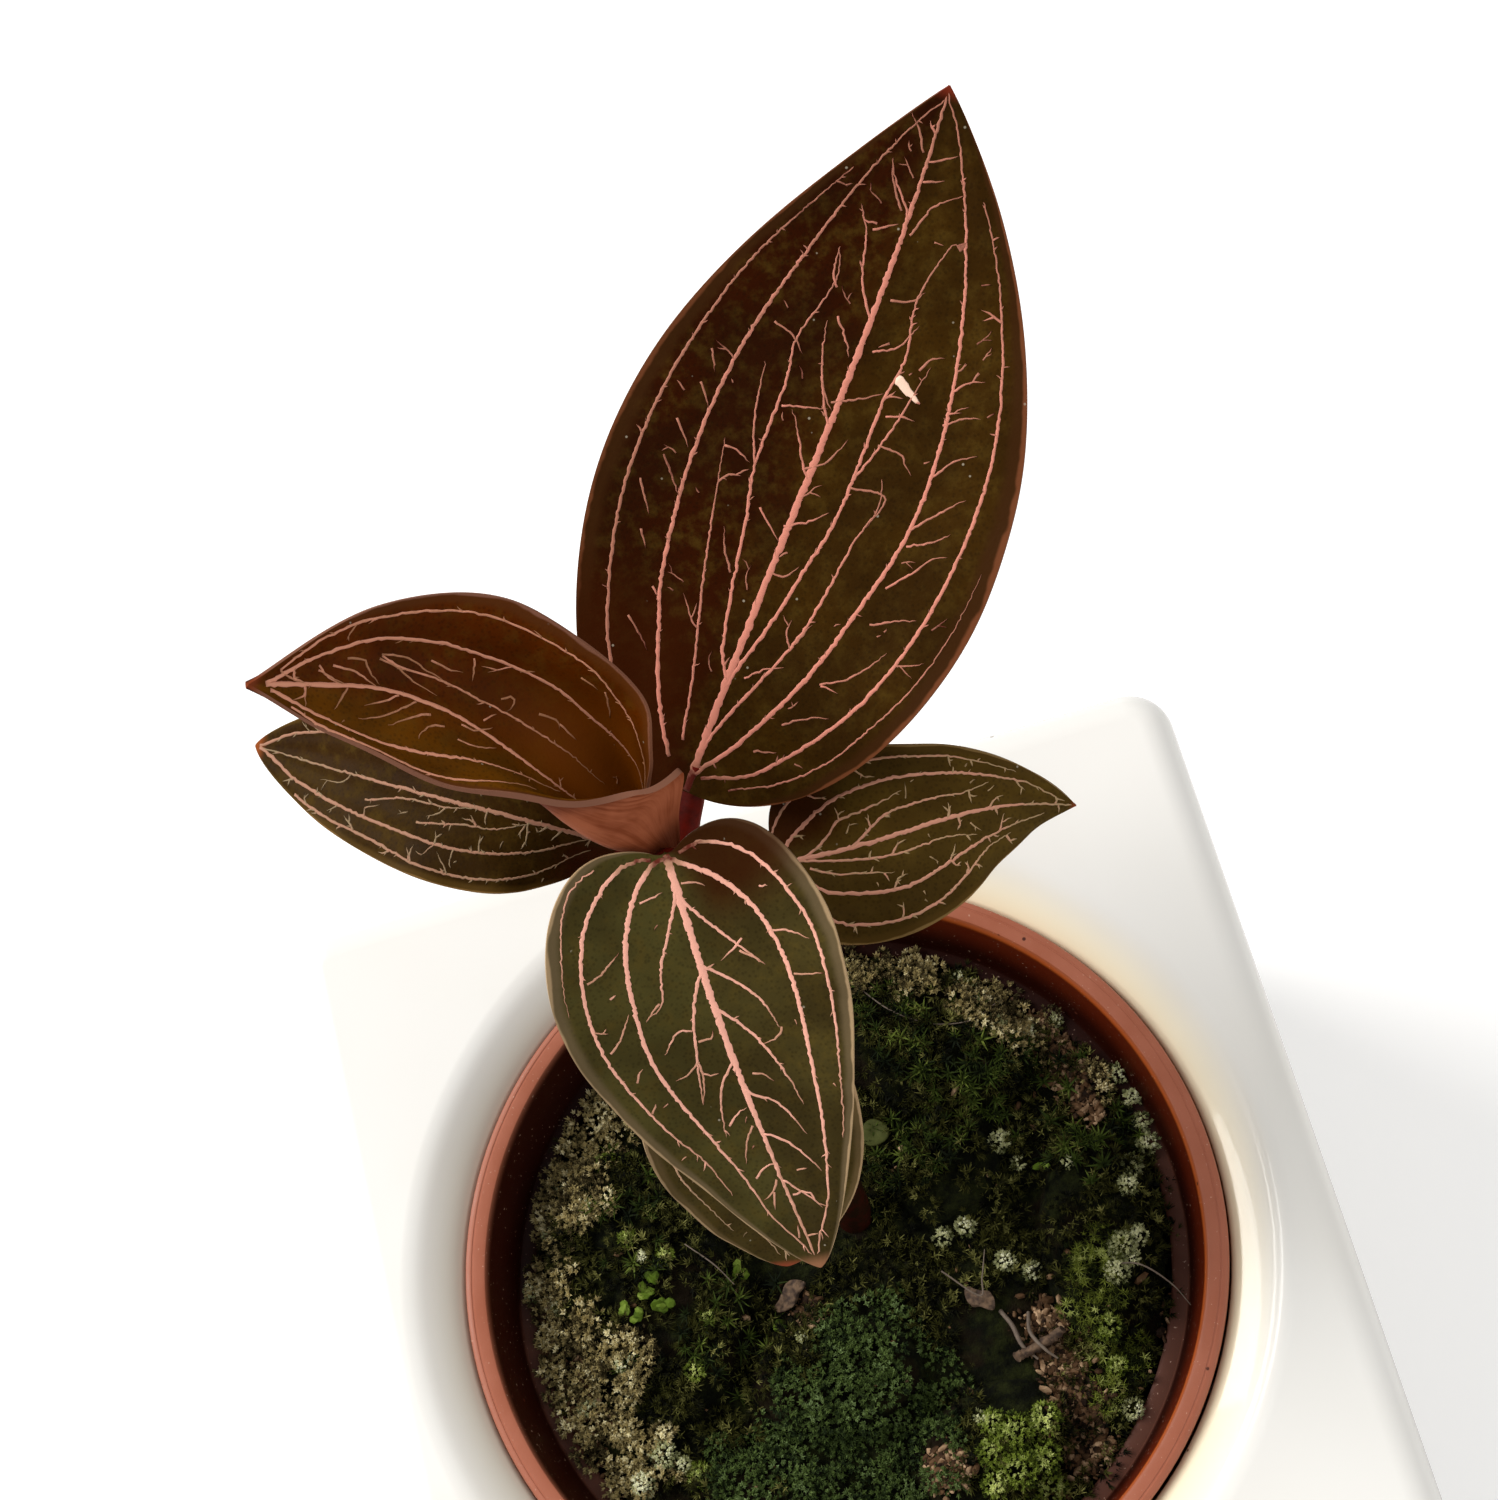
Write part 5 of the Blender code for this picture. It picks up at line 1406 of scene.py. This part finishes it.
class Net:
    """All the veins of one blade, drawn on it laid flat: x across and y along, in mm."""

    def __init__(self, leaf, seed):
        self.leaf = leaf
        midrib, _ = blade_at(leaf, np.linspace(0, 1, 60), np.zeros(60))
        self.length = np.linalg.norm(np.diff(midrib, axis=0), axis=1).sum()
        self.rng = np.random.default_rng(seed)
        self.veins = []
        self.taken = np.zeros((0, 2))

    def flat(self, t, s):
        t, s = np.asarray(t, float), np.asarray(s, float)
        return np.stack([s * half_width(self.leaf, t, s), t * self.length], -1)

    def share(self, points):
        t = np.clip(points[:, 1] / self.length, 0.001, 0.995)
        return t, np.clip(points[:, 0] / half_width(self.leaf, t, points[:, 0]), -0.985, 0.985)

    def draw(self, points, width, ends, vivid):
        """Keeps a vein; ends is its last width as a share, and vivid its strength of colour."""
        self.veins.append((points, width, ends, vivid))
        self.taken = np.vstack([self.taken, points])

    def long_vein(self, width, knots, vivid=None):
        """A smooth, slightly unsteady vein through points in hundredths of the blade."""
        t, s = smooth_path([(t / 100, s / 100, 0) for t, s in knots], 40).T[:2]
        points = self.flat(t, s)
        reach = np.concatenate([[0], np.cumsum(np.linalg.norm(np.diff(points, axis=0), axis=1))])
        samples = np.linspace(0, reach[-1], max(4, int(reach[-1] / LONG_STEP)))
        points = np.stack([np.interp(samples, reach, points[:, k]) for k in (0, 1)], 1)
        points = points + self.rng.normal(0, 0.035, points.shape)
        self.draw(points, width * 0.88, 0.3, vivid or 0.45 + 0.55 * min(1, width / 0.6))

    def clear(self, point, gap, start=None):
        """Whether a point lies on open blade; a twig's first steps may lie close to its parent."""
        if start is not None and np.linalg.norm(point - start) < gap * 1.5:
            return True
        t, x = point[1] / self.length, point[0]
        if not 0.02 < t < 0.98:
            return False
        near = np.linalg.norm(self.taken - point, axis=1).min()
        return near > gap and abs(x) < 0.9 * float(half_width(self.leaf, t, x))

    def walk(self, start, heading, length, width, gap, vivid, forks=1):
        """Grows one twig from start, turning a little at each step, and then its fork."""
        path = [np.array(start)]
        for _ in range(int(length / TWIG_STEP)):
            heading += self.rng.normal(0, 0.2)
            point = path[-1] + TWIG_STEP * np.array([math.sin(heading), math.cos(heading)])
            if not self.clear(point, gap, path[0]):
                break
            path.append(point)
        if len(path) < 3:
            return
        self.draw(np.array(path), width, 0.15, vivid)
        if forks and len(path) > 5:
            at = int(self.rng.integers(2, len(path) - 1))
            side = self.rng.choice([-1, 1]) * self.rng.uniform(0.6, 1.1)
            self.walk(path[at], heading + side, length * 0.5, width * 0.8, gap * 0.55, vivid * 0.9, 0)

    def twigs(self, number, lengths, width, gap=0.55):
        """Twigs that leave the veins drawn so far."""
        rng = self.rng
        parents = [points for points, wide, *_ in self.veins if wide > 0.25]
        share = np.array([len(points) for points in parents], float)
        for _ in range(number):
            points = parents[rng.choice(len(parents), p=share / share.sum())]
            at = int(rng.integers(1, len(points) - 2))
            along = points[at + 1] - points[at - 1]
            if along[1] < 0:
                along = -along
            heading = math.atan2(along[0], along[1]) + rng.choice([-1, 1]) * rng.uniform(0.55, 1.1)
            self.walk(points[at], heading, rng.uniform(*lengths), width * rng.uniform(0.8, 1.2), gap,
                      rng.uniform(0.4, 0.75))

    def dashes(self, number, lengths, width, gap=0.6):
        """Loose bits of vein in the open spaces."""
        rng = self.rng
        for _ in range(number):
            t, s = rng.uniform(0.06, 0.9), rng.uniform(-0.85, 0.85)
            start = self.flat(t, s)
            if self.clear(start, gap):
                heading = rng.uniform(0.3, 1.2) * (1 if s > 0 else -1)
                self.walk(start, heading, rng.uniform(*lengths), width, gap * 0.7,
                          rng.uniform(0.2, 0.5))


LONG_STEP, TWIG_STEP = 0.3, 0.22  # mm between the points of a vein
MARKS = {  # a healed scar and a small blotch: width in mm, vividness, then (t, s) points
    "leaf_large": [(1.25, 2.4, (57.8, 24), (56.8, 31), (55.6, 40)),
                   (0.9, 0.3, (78.5, 49), (79, 53), (79.7, 57))],
}
TWIG_RULES = {  # twigs: number, lengths, width; dashes: the same; number of thorns
    "leaf_large": ((26, (1.2, 3.6), 0.24), (60, (0.8, 2.4), 0.17), 150),
    "leaf_front": ((6, (0.9, 2.0), 0.24), (16, (0.6, 1.2), 0.16), 60),
    "leaf_rolled": ((8, (0.9, 2.4), 0.2), (16, (0.6, 1.6), 0.14), 60),
    "leaf_left": ((60, (1.2, 3.6), 0.24), (30, (0.7, 2.2), 0.17), 40),
    "leaf_right": ((50, (1.0, 3.0), 0.24), (40, (0.7, 2.2), 0.17), 40),
    "leaf_under": ((30, (0.8, 2.4), 0.2), (30, (0.7, 1.6), 0.15), 30),
}
nets = {}
for seed, (name, (twigs, dashes, thorns)) in enumerate(TWIG_RULES.items()):
    net = Net(LEAVES[name], 70 + seed)
    for width, *knots in VEINS[name]:
        net.long_vein(width, knots)
    for knots in PLACED_TWIGS.get(name, []):
        net.long_vein(0.28, knots, net.rng.uniform(0.4, 0.75))
    net.twigs(*twigs)
    net.dashes(*dashes)
    net.twigs(thorns, (0.5, 0.7), 0.17, 0.2)
    for width, vivid, *knots in MARKS.get(name, []):
        net.long_vein(width, knots, vivid)
    nets[name] = net
    print(name, "veins", len(net.veins), "length of blade", round(net.length, 1))

# %% Laying the veins on the blades
SECTION = np.array([  # across, as a share of half the width; up, in mm
    (-1.0, -0.03), (-0.62, 0.035), (0.0, 0.06), (0.62, 0.035), (1.0, -0.03), (0.0, -0.12)])


def vein_rings(net, points, width, ends, vivid):
    """Rings of a low ridge along one vein, with their vividness."""
    t, s = net.share(points)
    place, _ = blade_at(net.leaf, t, s)
    up = blade_facing(net.leaf, t, s)
    along = unit(np.gradient(place, axis=0) + 1e-9)
    across = unit(np.cross(along, up))
    reach = np.linspace(0, 1, len(points))
    slim = np.interp(reach, [0, 0.6, 1], [1, 0.8, ends])
    half = width / 2 * slim * net.rng.uniform(0.8, 1.2, len(points))
    half[-1] *= 0.4
    rings = (place[:, None] + across[:, None] * (half[:, None] * SECTION[:, 0])[..., None]
             + up[:, None] * SECTION[:, 1][None, :, None])
    tone = vivid * np.interp(reach, [0, 0.7, 1], [1, 0.85, 0.45])
    tone = tone * np.interp(s, [-0.9, -0.3], [net.leaf.get("dull", 1), 1])
    tone = tone * np.interp(t, [0.015, 0.055], [net.leaf.get("dark_base", 1), 1])
    return rings, np.repeat(tone, len(SECTION))


def lay_veins(name, net):
    """All the ridges of one net as one mesh; each is a chain of rings, closed at both ends."""
    points, faces, tones, first = [], [], [], 0
    n = len(SECTION)
    for vein in net.veins:
        rings, tone = vein_rings(net, *vein)
        points.append(rings.reshape(-1, 3))
        tones.append(tone)
        last = first + (len(rings) - 1) * n
        for ring in range(first, last, n):
            for k in range(n):
                a, b = ring + k, ring + (k + 1) % n
                faces.append((a, b, b + n, a + n))
        faces.append(range(first + n - 1, first - 1, -1))
        faces.append(range(last, last + n))
        first = last + n
    piece = mesh_piece(name, at_rim(np.concatenate(points)), faces)
    put_tones(piece, np.concatenate(tones))
    mend(piece)
    bpy.ops.object.shade_smooth()
    return piece


def vein_finish(name, strong, weak, ground):
    finish = Finish(name, Roughness=0.55, Specular_IOR_Level=0.2)
    at = finish.place()
    uneven = finish.band(finish.grain(at, 1300, 3), 0.3, 0.7, -0.12, 0.1)
    tone = finish.sums("ADD", finish.tone(), uneven)
    colour = finish.coats(ground, (finish.band(tone, 0.0, 0.35), weak),
                          (finish.band(tone, 0.4, 0.85), strong),
                          (finish.band(tone, 1.2, 1.5), (252, 214, 190)))
    finish.set(Base_Color=colour, Normal=finish.relief(finish.grain(at, 2500, 2), 0.03 * MM, 0.5))
    return finish


VEIN_TINTS = {  # strong, weak, and the blade's own colour round the weakest
    "leaf_large": [(216, 136, 116), (172, 112, 90), (84, 22, 10)],
    "leaf_front": [(252, 182, 160), (200, 146, 118), (104, 36, 20)],
    "leaf_rolled": [(216, 148, 120), (166, 114, 80), (92, 52, 18)],
    "leaf_left": [(164, 118, 94), (140, 118, 88), (66, 48, 20)],
    "leaf_right": [(200, 140, 116), (166, 138, 100), (76, 60, 26)],
    "leaf_under": [(230, 180, 146), (180, 148, 112), (86, 70, 38)],
}
for name, net in nets.items():
    piece = lay_veins(name.replace("leaf", "veins"), net)
    hand_over(piece, "leaf_blade", vein_finish(name + "_vein", *VEIN_TINTS[name]))

# %% [markdown]
# ## Loose pieces on the moss
# A dry twig, two chips of bark and two button-like seedling leaves lie on the moss, with a few
# pale threads of old root. They are small, but each catches the eye where it lies.

# %% Dry twig
wood = Finish("dry_wood", Roughness=0.85)
drawn_out = wood.step("Mapping", {"Vector": wood.place(), "Scale": (1, 1, 0.3)})
fibre = wood.grain(drawn_out, 1500.0, 4.0, 0.5)
wood.set(Base_Color=wood.blend(wood.band(fibre, 0.3, 0.7), (48, 32, 22), (112, 88, 66)),
         Normal=wood.relief(fibre, 0.2 * MM))

rng = np.random.default_rng(23)
TWIG_KNOTS = [(14.5, -14.4, 0.9), (17.0, -14.0, 1.4), (20.0, -13.2, 2.4)]  # mm above the moss
TWIG_POINTS, TWIG_RADIUS = 22, 0.5
twig_path = smooth_path(np.array(TWIG_KNOTS) + [0, 0, MOSS_TOP], TWIG_POINTS)
twig_path = twig_path + rng.normal(0, 0.05, (TWIG_POINTS, 3))
twig = tube("dry_twig", twig_path, TWIG_RADIUS + rng.uniform(-0.08, 0.12, TWIG_POINTS), 3)
hand_over(twig, "dry_wood", wood, stands_for=["twig"])

# %% Bark chips
CHIPS = [(-7.0, -1.6, 4.2, 35), (12.5, -7.5, 3.6, -50)]  # x, y, length, turn
CHIP_WIDTH, CHIP_THICKNESS = 1.9, 0.9
for index, (cx, cy, length, turn) in enumerate(CHIPS):
    clear_selection()
    bpy.ops.mesh.primitive_cube_add(size=1)
    chip = named(f"bark_flake_{index + 1}")
    chip.scale = (length, CHIP_WIDTH, CHIP_THICKNESS)
    open_up(settle(chip))
    bpy.ops.mesh.subdivide(number_cuts=7)
    bpy.ops.object.mode_set(mode="OBJECT")
    shape = points_of(chip)
    shape[:, 1:] *= (1 - 0.75 * np.abs(shape[:, 0] / (length / 2)) ** 2.5)[:, None]
    shape[:, 1] += 0.25 * np.sin(shape[:, 0] * 2)
    shape += np.column_stack([rough(shape + k * 9, 0.7, 0.22, index + k) for k in range(3)])
    c, s = math.cos(math.radians(turn)), math.sin(math.radians(turn))
    shape = shape @ np.array([[c, s, 0.1], [-s, c, 0], [0, 0, 1]])  # turned, and one end raised
    put_points(chip, at_rim(shape + [cx, cy, MOSS_TOP + 1.0]))
    apply_modifier(chip, "SUBSURF", levels=1, render_levels=1)
    bpy.ops.object.shade_smooth()
    hand_over(chip, "dry_wood", wood, stands_for=[f"bark_chip_{index + 1}"])

# %% Seedling leaves
SEEDLINGS = [(-8.2, 4.4), (6.6, 12.8)]  # x, y
SEEDLING_RADIUS = 1.5
seedling = Finish("seedling_green", Roughness=0.7, Specular_IOR_Level=0.1)
at = seedling.place()
seedling.set(Base_Color=seedling.blend(seedling.grain(at, 600, 3), (34, 38, 12), (84, 88, 44)),
             Normal=seedling.relief(seedling.grain(at, 1600, 2), 0.1 * MM, 0.5))
for index, (cx, cy) in enumerate(SEEDLINGS):
    clear_selection()
    bpy.ops.mesh.primitive_uv_sphere_add(segments=32, ring_count=16, radius=SEEDLING_RADIUS)
    button = named(f"seedling_button_{index + 1}")
    shape = points_of(button)
    away = np.hypot(shape[:, 0], shape[:, 1]) / SEEDLING_RADIUS
    turn = np.arctan2(shape[:, 1], shape[:, 0])
    shape[:, :2] *= (1 + 0.06 * np.cos(3 * turn + index))[:, None]
    shape[:, 2] = 0.9 + shape[:, 2] * 0.32 + 0.35 * away ** 2 - 0.2 * np.exp(-(away / 0.25) ** 2)
    put_points(button, at_rim(shape + [cx, cy, MOSS_TOP]))
    bpy.ops.object.shade_smooth()
    hand_over(button, "seedling_green", seedling, stands_for=[f"seedling_leaf_{index + 1}"])

# %% Threads of old root
THREADS = [  # radius in mm, then knots in mm from the rim
    (0.09, (9.1, 28.6, -5), (12, 24.5, -4), (15.8, 21.8, -4.2), (20, 20.8, -4), (23.2, 22.1, -5)),
    (0.09, (26.7, -8.5, -4.2), (29.5, -9.6, -2.6), (32, -12.2, -3.4), (33.3, -14.8, -4)),
    (0.1, (9.5, -4.2, -4.6), (12.6, -7.6, -5.5), (13.4, -6.0, -5), (14.5, -3.2, -5)),
    (0.22, (17.0, -10.2, -8.4), (16.6, -12.4, -7.4), (17.6, -14.6, -6.9), (18.6, -15.8, -7.2)),
    (0.26, (14.2, -9.2, -8.6), (15.0, -11.2, -7.8), (15.4, -13.4, -7.9), (16.6, -15.2, -8)),
    (0.08, (-16, 6, -3.6), (-13.5, 3.0, -3.4), (-12, 0.5, -4.2)),
]
THREAD_POINTS = 30
pale_root = Finish("root_pale", Roughness=0.7)
fibres = pale_root.grain(pale_root.place(), 900, 3)
pale_root.set(Base_Color=pale_root.blend(fibres, (62, 50, 42), (130, 114, 98)))
slim = np.interp(np.linspace(0, 1, THREAD_POINTS), [0, 0.5, 1], [0.9, 1, 0.5])
for index, (radius, *knots) in enumerate(THREADS):
    thread = tube(f"root_thread_{index + 1}", smooth_path(knots, THREAD_POINTS), radius * slim, 2)
    hand_over(thread, "dry_wood", pale_root)
